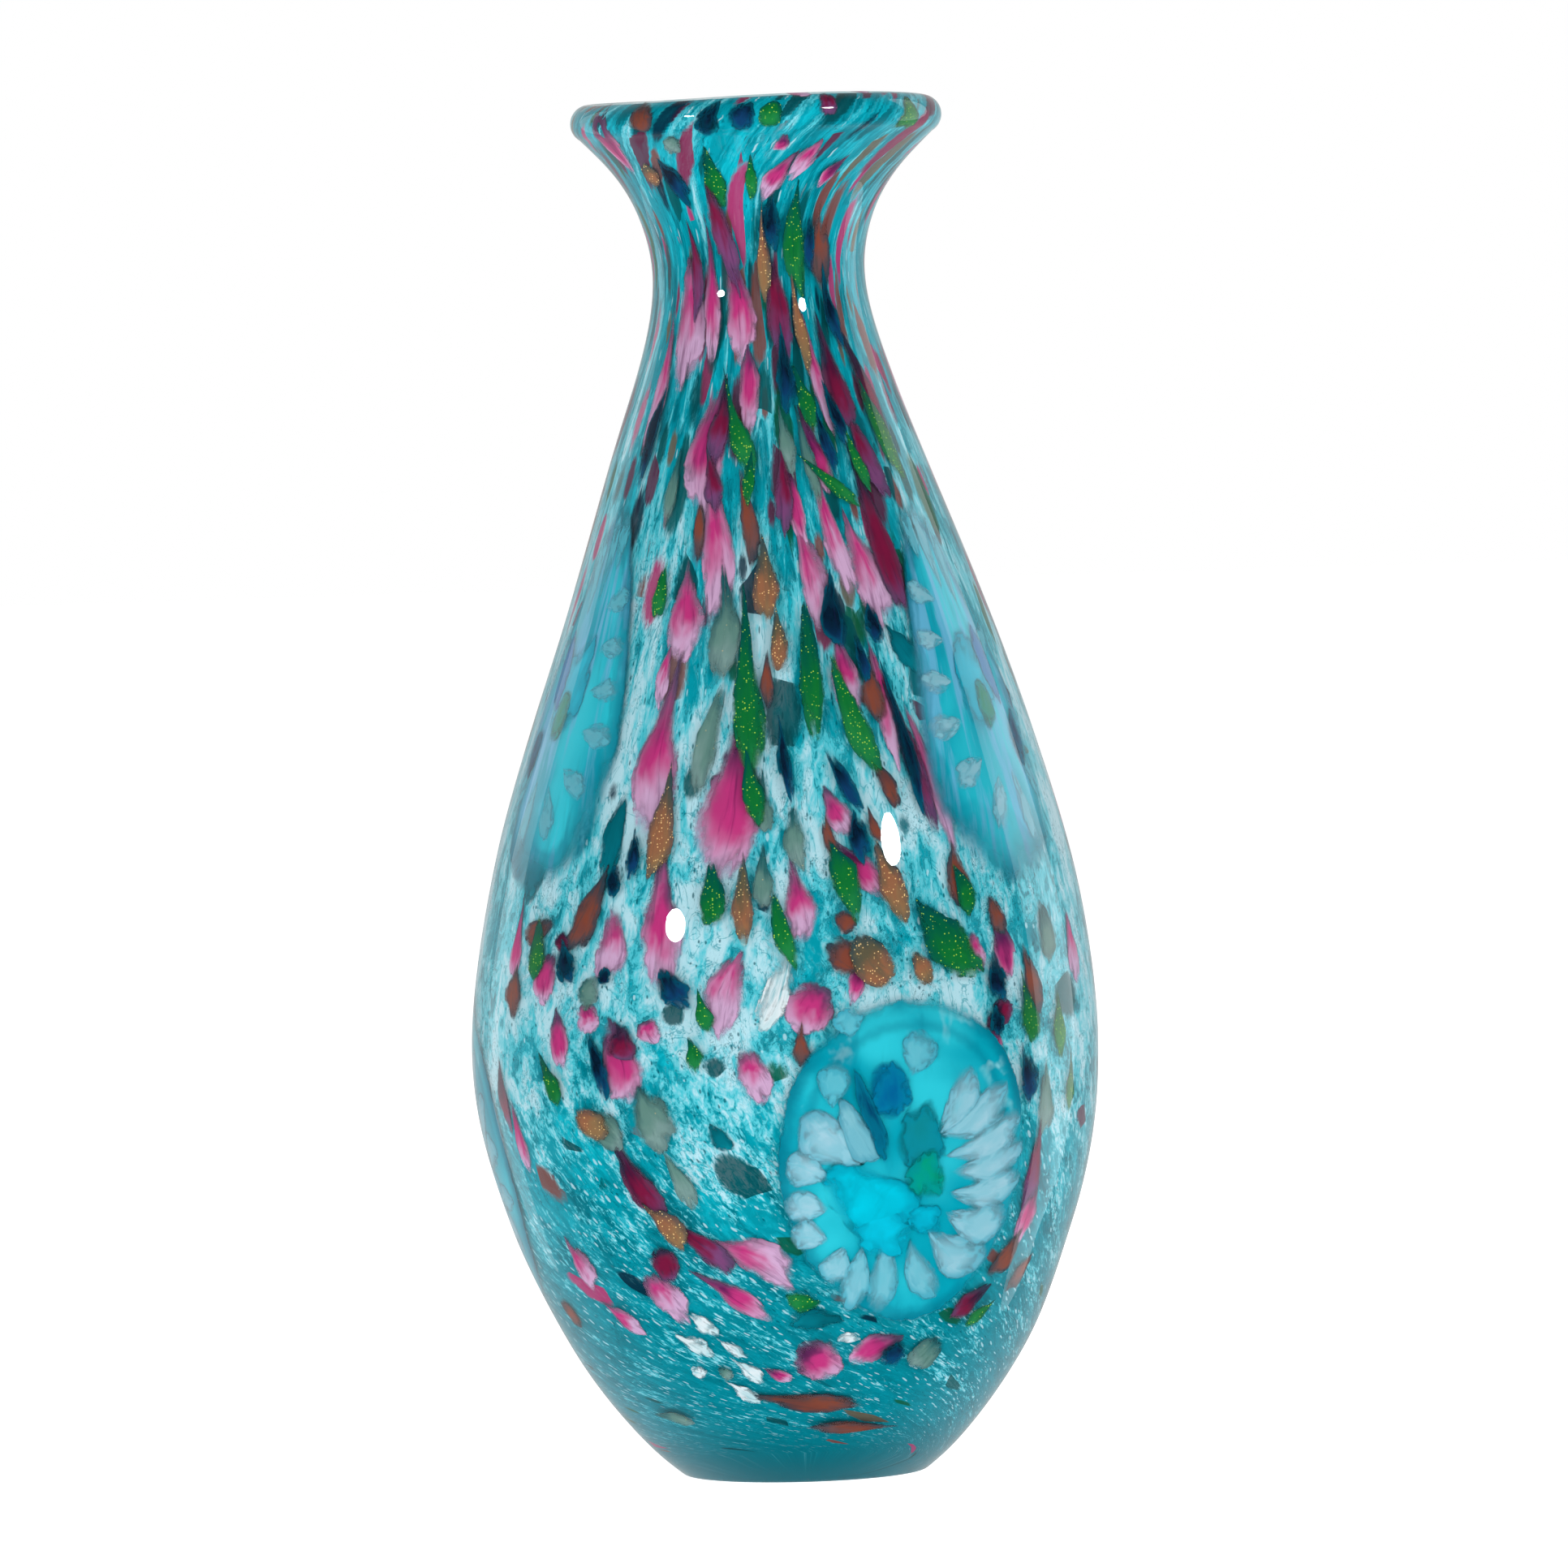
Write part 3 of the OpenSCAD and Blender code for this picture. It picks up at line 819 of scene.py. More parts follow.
@dataclass(frozen=True)
class GroundGlass:
    """The turquoise ground, broken up by pale opal frit that the blowing stretched.

    Attributes:
        name: Its name.
        deep: The dark teal of its veins.
        turquoise: Its main blue.
        bright: Its brighter turquoise.
        aqua: Where opal shows through thinly.
        pale: Where opal covers it.
        low: The dark teal near the foot.
        drawn: Colours of the chips drawn out into spindles.
    """

    name: str = "turquoise_frit_glass"
    deep: Colour = shade(2, 80, 94)
    turquoise: Colour = shade(4, 138, 154)
    bright: Colour = shade(14, 170, 188)
    aqua: Colour = shade(72, 182, 196)
    pale: Colour = shade(166, 206, 216)
    low: Colour = shade(4, 108, 122)
    drawn: tuple[Colour, ...] = (shade(6, 62, 68), shade(124, 28, 72), shade(6, 28, 50), shade(6, 92, 104),
                                 shade(96, 84, 66), shade(12, 82, 54), shade(84, 24, 56), shade(6, 76, 80),
                                 shade(112, 62, 56), shade(160, 44, 100))

    def build(self, effects: Effects) -> bpy.types.Material:
        """Builds the material.

        Args:
            effects: The shared node groups.

        Returns:
            The material.
        """
        material, b, glass, _ = new_material(self.name)
        flow = b.vector("SCALE", b.attribute("flow").outputs["Vector"])
        flow.node.inputs["Scale"].default_value = 1000.0
        height = b.group(effects.fall, Spread=26.0)["Height"]
        broad = b.clouds(flow, 0.075, 3, 0.55, 0.7)
        middle = b.clouds(flow, 0.22, 5, 0.62, 1.1)
        fine = b.clouds(flow, 0.85, 4, 0.65, 0.8)
        bias = b.add("ShaderNodeValToRGB")
        b.feed(bias.inputs[0], b.math("DIVIDE", height, 330.0))
        stops = ((0.0, 0.34), (0.10, 0.40), (0.20, 0.43), (0.30, 0.54), (0.50, 0.565), (0.64, 0.51),
                 (0.78, 0.455), (0.90, 0.42), (1.0, 0.44))
        for i, (at, level) in enumerate(stops):
            stop = bias.color_ramp.elements[i] if i < 2 else bias.color_ramp.elements.new(at)
            stop.position, stop.color = at, (level, level, level, 1.0)
        amount = b.math("ADD", b.math("MULTIPLY", broad, 0.55), b.math("MULTIPLY", middle, 0.45))
        amount = b.math("ADD", amount, b.math("SUBTRACT", bias.outputs[0], 0.5))
        ragged = b.step(height, 70.0, 110.0, (0.75, 0.16))
        amount = b.math("ADD", amount, b.math("MULTIPLY", b.math("SUBTRACT", fine, 0.5), ragged))
        turquoise = b.blend(b.step(middle, 0.42, 0.62), self.turquoise, self.bright)
        depths = b.step(b.clouds(flow, 0.12, 4, 0.6, 0.8), 0.46, 0.66, (0.0, 0.7))
        turquoise = b.blend(depths, turquoise, self.deep)
        turquoise = b.blend(b.step(height, 30.0, 85.0, (0.75, 0.0)), turquoise, self.low)
        colour = b.blend(b.step(amount, 0.44, 0.53), turquoise, self.aqua)
        colour = b.blend(b.step(amount, 0.51, 0.64), colour, self.pale)
        shore = b.math("ABSOLUTE", b.math("SUBTRACT", amount, 0.485))
        colour = b.blend(b.step(shore, 0.0, 0.012, (0.65, 0.0)), colour, self.deep)
        vein = b.math("ABSOLUTE", b.math("SUBTRACT", b.clouds(flow, 0.17, 4, 0.55, 1.6), 0.5))
        colour = b.blend(b.step(vein, 0.0, 0.020, (0.75, 0.0)), colour, self.turquoise)
        curl = b.math("ABSOLUTE", b.math("SUBTRACT", b.clouds(flow, 0.34, 3, 0.6, 2.2), 0.48))
        gate = b.step(b.clouds(flow, 0.09, 2), 0.45, 0.58)
        curl = b.math("MULTIPLY", b.step(curl, 0.0, 0.022, (0.8, 0.0)), gate)
        colour = b.blend(curl, colour, self.deep)
        specks = b.grains(b.vector("ADD", flow, (7.0, 3.0, 1.0)), 0.72)
        size = b.step(b.part(specks["Color"])[1], 0.0, 1.0, (0.12, 0.42))
        speck = b.step(b.math("SUBTRACT", specks["Distance"], size), -0.10, 0.02, (1.0, 0.0))
        many = b.step(height, 55.0, 100.0, (0.62, 0.90))
        speck = b.math("MULTIPLY", speck, b.math("GREATER_THAN", b.part(specks["Color"])[0], many))
        colour = b.blend(b.math("MULTIPLY", speck, 0.7), colour, self.pale)
        dots = b.grains(b.vector("ADD", flow, (1.0, 9.0, 4.0)), 0.9)
        dot = b.step(dots["Distance"], 0.16, 0.34, (1.0, 0.0))
        dot = b.math("MULTIPLY", dot, b.math("GREATER_THAN", b.part(dots["Color"])[0], 0.86))
        colour = b.blend(b.math("MULTIPLY", dot, 0.8), colour, self.deep)
        level = b.math("MULTIPLY", b.part(b.add("ShaderNodeTexCoord").outputs["Object"])[2], 1000.0)
        colour = b.blend(b.step(level, 9.0, 20.0, (1.0, 0.0)), colour, self.low)
        colour = self._drawn_chips(b, flow, height, fine, colour)
        b.feed(glass.inputs["Base Color"], colour)
        glass.inputs["Roughness"].default_value = 0.6
        glass.inputs["Specular IOR Level"].default_value = 0.0
        return material

    def _drawn_chips(self, b: Board, flow: bpy.types.NodeSocket, height: bpy.types.NodeSocket,
                     fine: bpy.types.NodeSocket, colour: bpy.types.NodeSocket) -> bpy.types.NodeSocket:
        """Lays the small chips that were drawn out into soft spindles, most of all up the neck.

        Args:
            b: The material's board.
            flow: The flow of the ground.
            height: Height in millimetres.
            fine: Fine clouds that make their edges ragged.
            colour: The ground so far.

        Returns:
            The ground with its spindles.
        """
        for k, (scale, most, least) in enumerate(((0.16, 0.96, 0.52), (0.10, 0.98, 0.45))):
            shifted = b.vector("ADD", flow, (11.0 * k, 5.0 * k, 17.0 * k))
            cells = b.grains(b.vector("MULTIPLY", shifted, (1.0, 1.0, 1.6)), scale)
            luck, kind, size = b.part(cells["Color"])
            reach = b.math("SUBTRACT", cells["Distance"], b.step(size, 0.0, 1.0, (0.32, 0.70)))
            reach = b.math("ADD", reach, b.math("MULTIPLY", b.math("SUBTRACT", fine, 0.5), 0.30))
            mask = b.step(reach, -0.16, 0.03, (0.9, 0.0))
            kept = b.math("GREATER_THAN", luck, b.step(height, 160.0, 268.0, (most, least)))
            mask = b.math("MULTIPLY", mask, kept)
            colours = b.add("ShaderNodeValToRGB")
            colours.color_ramp.interpolation = "CONSTANT"
            b.feed(colours.inputs[0], kind)
            for i, tone in enumerate(self.drawn):
                at = i / len(self.drawn)
                stop = colours.color_ramp.elements[i] if i < 2 else colours.color_ramp.elements.new(at)
                stop.position, stop.color = at, (*tone, 1.0)
            colour = b.blend(mask, colour, colours.outputs[0])
        return colour


@dataclass(frozen=True)
class OpalGlass:
    """The opal lining seen down the mouth: pale, glossy, with turquoise showing through in clouds.

    Attributes:
        name: Its name.
        opal: Its main colour.
        tint: The turquoise that shows through.
    """

    name: str = "opal_lining_glass"
    opal: Colour = shade(206, 226, 228)
    tint: Colour = shade(128, 196, 202)

    def build(self, effects: Effects) -> bpy.types.Material:
        """Builds the material.

        Args:
            effects: The shared node groups.

        Returns:
            The material.
        """
        material, b, glass, _ = new_material(self.name)
        place = b.add("ShaderNodeTexCoord").outputs["Object"]
        clouds = b.clouds(b.vector("MULTIPLY", place, (1.0, 1.0, 0.35)), 70, 4, 0.6, 0.8)
        colour = b.blend(b.step(clouds, 0.38, 0.68), self.opal, self.tint)
        fine = b.clouds(place, 420, 3, 0.6)
        colour = b.blend(b.step(fine, 0.55, 0.75, (0.0, 0.3)), colour, self.tint)
        b.feed(glass.inputs["Base Color"], colour)
        glass.inputs["Roughness"].default_value = 0.08
        glass.inputs["IOR"].default_value = 1.5
        glass.inputs["Coat Weight"].default_value = 0.4
        glass.inputs["Coat Roughness"].default_value = 0.03
        return material


@dataclass(frozen=True)
class SliceGlass:
    """The murrine slice between its cells: turquoise, clouded, darker at its rim and rings.

    Attributes:
        name: Its name.
        body: Its main colour.
        glow: Its lighter clouds.
        dark: Its rim and rings.
        milk: White that has run into it.
        across: How fine its streaks are.
        milky: How much white is drawn along it.
        softness: How far its edge fades.
    """

    name: str = "murrine_aqua_glass"
    body: Colour = shade(4, 146, 166)
    glow: Colour = shade(40, 182, 198)
    dark: Colour = shade(2, 96, 118)
    milk: Colour = shade(150, 208, 216)
    across: float = 3.0
    milky: float = 0.0
    softness: float = 0.05

    def build(self, effects: Effects) -> bpy.types.Material:
        """Builds the material.

        Args:
            effects: The shared node groups.

        Returns:
            The material.
        """
        material, b, glass, _ = new_material(self.name)
        leaf = b.attribute("leaf").outputs["Vector"]
        u, v, seed = b.part(leaf)
        edge = b.group(effects.ragged_edge, Leaf=leaf, Waver=0.05, Softness=self.softness, Band=0.10)
        grain = b.group(effects.drawn_grain, Leaf=leaf, Across=self.across, Along=1.2)
        reach = edge["Reach"]
        colour = b.blend(b.step(grain["Cloud"], 0.38, 0.64), self.body, self.glow)
        colour = b.blend(b.step(grain["Streak"], 0.36, 0.50, (self.milky, 0.0)), colour, self.milk)
        fuzz = b.step(b.clouds(b.join(u, v, b.math("MULTIPLY", seed, 9.0)), 3.4, 3, 0.5, 0.3), 0.52, 0.64)
        outer = b.math("MULTIPLY", b.step(reach, 0.70, 0.84), b.step(reach, 0.86, 0.95, (1.0, 0.0)))
        high = b.step(v, -0.1, 0.5)
        colour = b.blend(b.math("MULTIPLY", b.math("MULTIPLY", fuzz, outer), b.math("MULTIPLY", high, 0.8)),
                         colour, self.milk)
        ring = b.math("ABSOLUTE", b.math("SUBTRACT", reach, 0.80))
        colour = b.blend(b.math("MULTIPLY", b.step(ring, 0.0, 0.06, (0.40, 0.0)), high), colour, self.dark)
        colour = b.blend(b.step(grain["Streak"], 0.54, 0.72, (0.0, 0.4)), colour, self.dark)
        colour = b.blend(b.math("MULTIPLY", edge["Rim"], 0.75), colour, self.dark)
        b.feed(glass.inputs["Base Color"], colour)
        b.feed(glass.inputs["Alpha"], edge["Mask"])
        glass.inputs["Roughness"].default_value = 0.6
        glass.inputs["Specular IOR Level"].default_value = 0.0
        return material


# ---------------------------------------------------------------- pieces

TAIL_THINS = 0.75
TAIL_REACHES = 0.6


@dataclass
class Patch:
    """A flat melted piece in the wall.

    Attributes:
        azimuth: Turn round the vase of its middle, in radians.
        way: Way up the outline of its middle.
        half_long: Half its length, in metres.
        half_wide: Half its width.
        lean: Lean of its length to the right, in radians.
        depth: Share of the clear glass from outside.
        thick: Half its thickness, as a share of the clear glass.
        taper: How much narrower its upper end is.
        point: How pointed its ends are, 0 to 1.
        tail: How far its upper end is drawn out, 0 to 1.
        bend: Sideways bend of its ends, as a share of its half width.
        waver: How uneven its outline is.
        seed: Its own number, 0 to 1.
        tint: Its own colour.
    """

    azimuth: float
    way: float
    half_long: float
    half_wide: float
    lean: float = 0.0
    depth: float = 0.7
    thick: float = 0.05
    taper: float = 0.0
    point: float = 0.0
    tail: float = 0.0
    bend: float = 0.0
    waver: float = 0.10
    seed: float = 0.5
    tint: Colour = (1.0, 1.0, 1.0)


class WallPieces:
    """A mesh of melted pieces that lie in the wall."""

    def __init__(self, name: str, outline: Outline) -> None:
        """Starts an empty mesh.

        Args:
            name: The object's name.
            outline: The vase's outline.
        """
        self.name = name
        self.outline = outline
        self.bm = bmesh.new()
        self.leaf = self.bm.verts.layers.float_vector.new("leaf")
        self.tint = self.bm.verts.layers.float_color.new("tint")

    def lay(self, patch: Patch, round_steps: int = 16, rings: int = 6) -> None:
        """Lays one piece: a sphere is flattened, shaped and bent round the wall.

        Args:
            patch: The piece.
            round_steps: Points round its outline.
            rings: Rings from its front to its back.
        """
        point, _, _ = self.outline.read(patch.way)
        radius = max(point.x, 10 * MM)
        made = bmesh.ops.create_uvsphere(self.bm, u_segments=round_steps, v_segments=rings, radius=1.0)
        cos, sin = math.cos(patch.lean), math.sin(patch.lean)
        for vertex in made["verts"]:
            u, v, w = vertex.co
            vertex[self.leaf] = (u, v, patch.seed)
            vertex[self.tint] = (*patch.tint, 1.0)
            uneven = 1 + patch.waver * noise.noise(Vector((u * 1.3, v * 1.3, patch.seed * 50)))
            drawn = patch.tail * max(v, 0.0)
            narrow = (1 - patch.taper * v) * (1 - patch.point * v * v) * (1 - TAIL_THINS * drawn)
            x = (u * narrow + patch.bend * (v * v - 0.4)) * patch.half_wide * uneven
            y = v * patch.half_long * uneven * (1 + TAIL_REACHES * drawn)
            across, up = x * cos + y * sin, y * cos - x * sin
            depth = patch.depth - w * patch.thick
            vertex.co = self.outline.place(patch.azimuth + across / radius, patch.way + up, depth)

    def build(self, material: bpy.types.Material, wander: HandWander) -> bpy.types.Object:
        """Makes the object.

        Args:
            material: Its material.
            wander: The wander that it follows.

        Returns:
            The object.
        """
        bmesh.ops.recalc_face_normals(self.bm, faces=self.bm.faces)
        return make_object(self.name, self.bm, material, wander)


def make_object(name: str, bm: bmesh.types.BMesh, material: bpy.types.Material,
                wander: HandWander | None = None) -> bpy.types.Object:
    """Turns a bmesh into a smooth shaded object.

    Args:
        name: The piece's name.
        bm: Its mesh, which is freed.
        material: Its material.
        wander: The wander that the finished mesh follows.

    Returns:
        The object, at the origin.
    """
    mesh = bpy.data.meshes.new(name)
    bm.to_mesh(mesh)
    bm.free()
    mesh.shade_smooth()
    mesh.materials.append(material)
    if wander:
        wander.bend(mesh)
    made = bpy.data.objects.new(name, mesh)
    bpy.context.scene.collection.objects.link(made)
    return made


def spun(section: Line, steps: int) -> bmesh.types.BMesh:
    """Spins a section about the upright axis into a closed shell.

    Args:
        section: The section.
        steps: Steps round the axis.

    Returns:
        The shell.
    """
    bm = bmesh.new()
    dots = [bm.verts.new((p.x, 0.0, p.y)) for p in section]
    edges = [bm.edges.new(pair) for pair in zip(dots, dots[1:])]
    bmesh.ops.spin(bm, geom=dots + edges, cent=(0, 0, 0), axis=(0, 0, 1), dvec=(0, 0, 0),
                   angle=2 * math.pi, steps=steps, use_merge=True, use_duplicate=False)
    bmesh.ops.remove_doubles(bm, verts=bm.verts, dist=1e-6)
    bmesh.ops.recalc_face_normals(bm, faces=bm.faces)
    return bm


def put_on(piece: bpy.types.Object, slot: str, *nodes: str) -> None:
    """Ties a finished piece to the frame.

    Args:
        piece: The piece.
        slot: The record's material slot; not used.
        nodes: The nodes that it stands for.
    """
    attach(piece, "root")
    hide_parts(*nodes)
    LOG.info("%s: %d faces", piece.name, len(piece.data.polygons))


@dataclass
class GlassBody:
    """The cased wall: clear glass outside, turquoise ground, opal lining.

    Attributes:
        turns: Steps round the vase.
        foot_round: Rounding of the foot's edge.
        swirl: Lean of the ground's streaks at each height, in degrees.
        stretch: How far the streaks are drawn out at each height.
        climb: Heights between which the ground climbs towards the surface.
        wall_points: Points that the wall's outer line is drawn with.
        settling: How often that line is smoothed.
    """

    turns: int = 160
    foot_round: float = 0.9 * MM
    swirl: list[tuple[float, float]] = field(default_factory=lambda: [
        (0, -66), (20, -60), (45, -48), (75, -32), (100, -8), (130, 0), (300, 2), (315, 25), (330, 40)])
    stretch: list[tuple[float, float]] = field(default_factory=lambda: [
        (0, 2.0), (75, 2.0), (110, 1.6), (160, 2.4), (205, 3.2), (330, 3.6)])
    climb: tuple[float, float] = (0.292, 0.321)
    wall_points: int = 260
    settling: int = 24

    def __post_init__(self) -> None:
        """Reads the layers' sections."""
        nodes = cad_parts
        casing, _ = split_at_top(read_section(nodes["clear_casing"]))
        self.ground_outer, self.ground_inner = split_at_top(read_section(nodes["turquoise_ground"]))
        _, self.lining_inner = split_at_top(read_section(nodes["opal_lining"]))
        self.lip = Lip.from_arc(casing[-5:])
        wall = self._under_lip(casing)
        self.wall = settled(even(rounded(wall + [self.lip.on(0.0)], 3), self.wall_points), self.settling)
        self.arc = [self.lip.on(math.radians(a)) for a in range(6, 151, 6)]
        lip_foot = self.lip.centre.y - self.lip.radius / 2
        self.inner_line = [p for p in rounded(self.ground_inner, 2) if p.y < lip_foot]
        self.ground_line = self._ground_line()
        self.lining_arc = self.lip.colour_arc(132, 174)
        self.outline = Outline(self.wall + self.arc, self.ground_line + self.lining_arc)

    def _under_lip(self, line: Line) -> Line:
        """Keeps the points of a line that lie clear of the lip's round."""
        return [p for p in line if (p - self.lip.centre).length > self.lip.radius * 1.02
                or p.y < self.lip.centre.y - self.lip.radius]

    def _ground_line(self) -> Line:
        """The ground's outer line, which climbs towards the surface as the wall flares into the lip."""
        low = [p for p in rounded(self.ground_outer, 2) if p.y < self.climb[0]]
        deep = min((p - low[-1]).length for p in self.wall)
        high = []
        for before, point, after in zip(self.wall, self.wall[1:], self.wall[2:]):
            if point.y > self.climb[0] + 2 * MM:
                inward = Vector((before.y - after.y, after.x - before.x)).normalized()
                near = self.lip.radius * (1 - self.lip.sink)
                high.append(point + inward * between(deep, near, ease(*self.climb, point.y)))
        return low + high + self.lip.colour_arc(0, 132)

    def _foot(self) -> Line:
        """The flat foot and its rounded edge, from the axis outwards."""
        edge = self.wall[0]
        ahead = (self.wall[4] - edge).normalized()
        inner, outer = edge - Vector((self.foot_round, 0)), edge + ahead * self.foot_round
        curve = [inner.lerp(edge, t).lerp(edge.lerp(outer, t), t) for t in (0.0, 0.25, 0.5, 0.75, 1.0)]
        spread = [Vector((edge.x * share, 0.0)) for share in (0.0, 0.35, 0.7)]
        return spread + curve

    def casing(self, material: bpy.types.Material, wander: HandWander) -> bpy.types.Object:
        """Builds the clear glass: its inner side lies hidden in the ground.

        Args:
            material: Its material.
            wander: The wander that it follows.

        Returns:
            The shell.
        """
        start = next(i for i, p in enumerate(self.wall) if p.y > self._foot()[-1].y + 0.2 * MM)
        hidden = [p + Vector((-0.25 * MM, 0.12 * MM)) for p in self.ground_line if
                  (p - self.lip.centre).length > self.lip.radius * 1.3 and p.x > 0.3 * MM]
        tuck = [self.lip.on(math.radians(154), 0.93), self.lip.on(math.radians(140), 0.5)]
        axis = Vector((0.0, self.ground_line[0].y + 0.3 * MM))
        section = self._foot() + self.wall[start:] + self.arc + tuck + hidden[::-1] + [axis]
        return make_object("clear_casing_shell", spun(section, self.turns), material, wander)

    def ground(self, material: bpy.types.Material, wander: HandWander) -> bpy.types.Object:
        """Builds the turquoise ground, with the flow that its pattern follows.

        Args:
            material: Its material.
            wander: The wander that it follows.

        Returns:
            The shell.
        """
        section = self.ground_line + self.inner_line[::-1]
        section[0].x = section[-1].x = 0.0
        bm = spun(section, self.turns)
        flow = bm.verts.layers.float_vector.new("flow")
        turned, drawn = self._flow_courses()
        for vertex in bm.verts:
            azimuth, way, _ = self.outline.find(vertex.co)
            i = min(max(int(way / self.outline.step), 0), len(turned) - 1)
            a = azimuth - turned[i]
            vertex[flow] = (0.07 * math.cos(a), 0.07 * math.sin(a), drawn[i])
        return make_object("turquoise_ground_shell", bm, material, wander)

    def _flow_courses(self) -> tuple[list[float], list[float]]:
        """How far the streaks have turned round, and how far along them a place is, at each step up."""
        turned, drawn = [0.0], [0.0]
        for point in self.outline.line[1:]:
            lean = math.radians(along(self.swirl, point.y / MM))
            ahead = self.outline.step / math.cos(lean)
            turned.append(turned[-1] + self.outline.step * math.tan(lean) / max(point.x, 20 * MM))
            drawn.append(drawn[-1] + ahead / along(self.stretch, point.y / MM))
        return turned, drawn

    def lining(self, material: bpy.types.Material, wander: HandWander) -> bpy.types.Object:
        """Builds the opal lining, which rolls out over the lip's inner half.

        Args:
            material: Its material.
            wander: The wander that it follows.

        Returns:
            The shell.
        """
        inner = self._under_lip(rounded(self.lining_inner, 2))
        section = self.inner_line + self.lining_arc + inner[::-1]
        section[0].x = section[-1].x = 0.0
        return make_object("opal_lining_shell", spun(section, self.turns), material, wander)


@dataclass
class ChipScatter:
    """One colour of chips, shaped on the chips of its node.

    Attributes:
        node: The node.
        slot: Its slot.
        finish: Its glass.
        grow: How much wider than the node's six sided chips the melted ones are.
        draw: How much longer they are at each height.
        point: How pointed their ends are, 0 to 1.
        shallow: Least share of the clear glass over a chip's middle.
        deep: Largest share of it.
        lip_deep: Largest share of it on the lip, where the wall turns tightly.
        lip_start: Height at which the lip starts, in metres.
    """

    node: str
    slot: str
    finish: ChipGlass
    grow: float = 1.16
    draw: tuple[tuple[float, float], ...] = (
        (0, 1.2), (110, 1.2), (170, 1.5), (240, 1.8), (300, 1.6), (316, 1.5), (330, 1.4))
    point: float = 0.5
    shallow: float = 0.4
    deep: float = 0.88
    lip_deep: float = 0.5
    lip_start: float = 312 * MM

    def build(self, body: GlassBody, effects: Effects, wander: HandWander) -> bpy.types.Object:
        """Builds the chips.

        Args:
            body: The wall that they lie in.
            effects: The shared node groups.
            wander: The wander that it follows.

        Returns:
            All of its chips as one object.
        """
        pieces = WallPieces(f"{self.node}_melted", body.outline)
        dice = random.Random(self.node)
        for patch in sorted(self._measure(body.outline), key=lambda p: (round(p.way, 5), p.azimuth)):
            luck = dice.random()
            slender = patch.half_long / patch.half_wide
            pieces.lay(replace(patch, seed=luck, taper=dice.uniform(-0.05, 0.25),
                               point=self.point * ease(1.1, 2.2, slender),
                               tail=dice.uniform(0.2, 1.0) * ease(1.1, 1.9, slender),
                               bend=dice.uniform(-0.4, 0.4), waver=0.35), 18)
        return pieces.build(self.finish.build(effects), wander)

    def _measure(self, outline: Outline) -> list[Patch]:
        """Measures each chip of the node in the wall's own directions."""
        return [self._fit(island, outline) for island in islands(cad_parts[self.node])]

    def _fit(self, island: Line, outline: Outline) -> Patch:
        """Fits one patch to a chip's corners.

        Args:
            island: The corners.
            outline: The vase's outline.

        Returns:
            The patch.
        """
        middle = sum(island, Vector((0, 0, 0))) / len(island)
        azimuth, way, depth = outline.find(middle)
        depth = min(max(depth, self.shallow), self.deep if middle.z < self.lip_start else self.lip_deep)
        radius = outline.read(way)[0].x
        flat = []
        for co in island:
            a, w, _ = outline.find(co)
            flat.append(Vector((((a - azimuth + math.pi) % (2 * math.pi) - math.pi) * radius, w - way)))
        xx, yy, xy = (sum(p[i] * p[k] for p in flat) for i, k in ((0, 0), (1, 1), (0, 1)))
        lean = math.pi / 2 - 0.5 * math.atan2(2 * xy, xx - yy)
        lean = (lean + math.pi / 2) % math.pi - math.pi / 2
        up, side = Vector((math.sin(lean), math.cos(lean))), Vector((math.cos(lean), -math.sin(lean)))
        ends = [p.dot(up) for p in flat]
        sides = [p.dot(side) for p in flat]
        shift = up * (max(ends) + min(ends)) / 2 + side * (max(sides) + min(sides)) / 2
        span = max((a - b).length for a in island for b in island[::5]) / 2
        half_long = min((max(ends) - min(ends)) / 2, span)
        half_wide = min((max(sides) - min(sides)) / 2 / 0.866, half_long) * self.grow
        half_long *= along(self.draw, middle.z / MM)
        return Patch(azimuth + shift.x / radius, way + shift.y, half_long, half_wide, lean, depth)


def islands(node: bpy.types.Object) -> list[Line]:
    """Splits a node into its separate solids.

    Args:
        node: The node, which is left as it is.

    Returns:
        The corners of each solid.
    """
    bm = bmesh.new()
    bm.from_mesh(node.data)
    bmesh.ops.remove_doubles(bm, verts=bm.verts, dist=1e-6)
    found, seen = [], set()
    for vertex in bm.verts:
        if vertex in seen:
            continue
        todo, island = [vertex], []
        seen.add(vertex)
        while todo:
            at = todo.pop()
            island.append(at.co.copy())
            for edge in at.link_edges:
                other = edge.other_vert(at)
                if other not in seen:
                    seen.add(other)
                    todo.append(other)
        found.append(island)
    bm.free()
    return found


class Ring(Enum):
    """Where a murrine sits, and how its cells are drawn."""

    FRONT = "front"
    LOWER = "lower"
    UPPER = "upper"


@dataclass(frozen=True)
class Cell:
    """A white cell of a murrine, in shares of the slice's half width and half height.

    Attributes:
        inner: Its tip near the core, as (across, up).
        outer: Its round end.
        wide: Half its width.
        bend: How far it curves.
        milk: How white it is, 0 to 1.
    """

    inner: tuple[float, float]
    outer: tuple[float, float]
    wide: float
    bend: float = 0.0
    milk: float = 1.0


@dataclass(frozen=True)
class Blob:
    """A coloured part of a murrine's core, in shares of the slice.

    Attributes:
        middle: Its middle, right and up of the slice's.
        half: Half its width and half its length.
        lean: Lean of its length to the right, in radians.
        tint: Its colour.
        taper: How much narrower its upper end is.
        lift: How far it lies in front of the others.
    """

    middle: tuple[float, float]
    half: tuple[float, float]
    lean: float
    tint: Colour
    taper: float = 0.0
    lift: float = 0.0


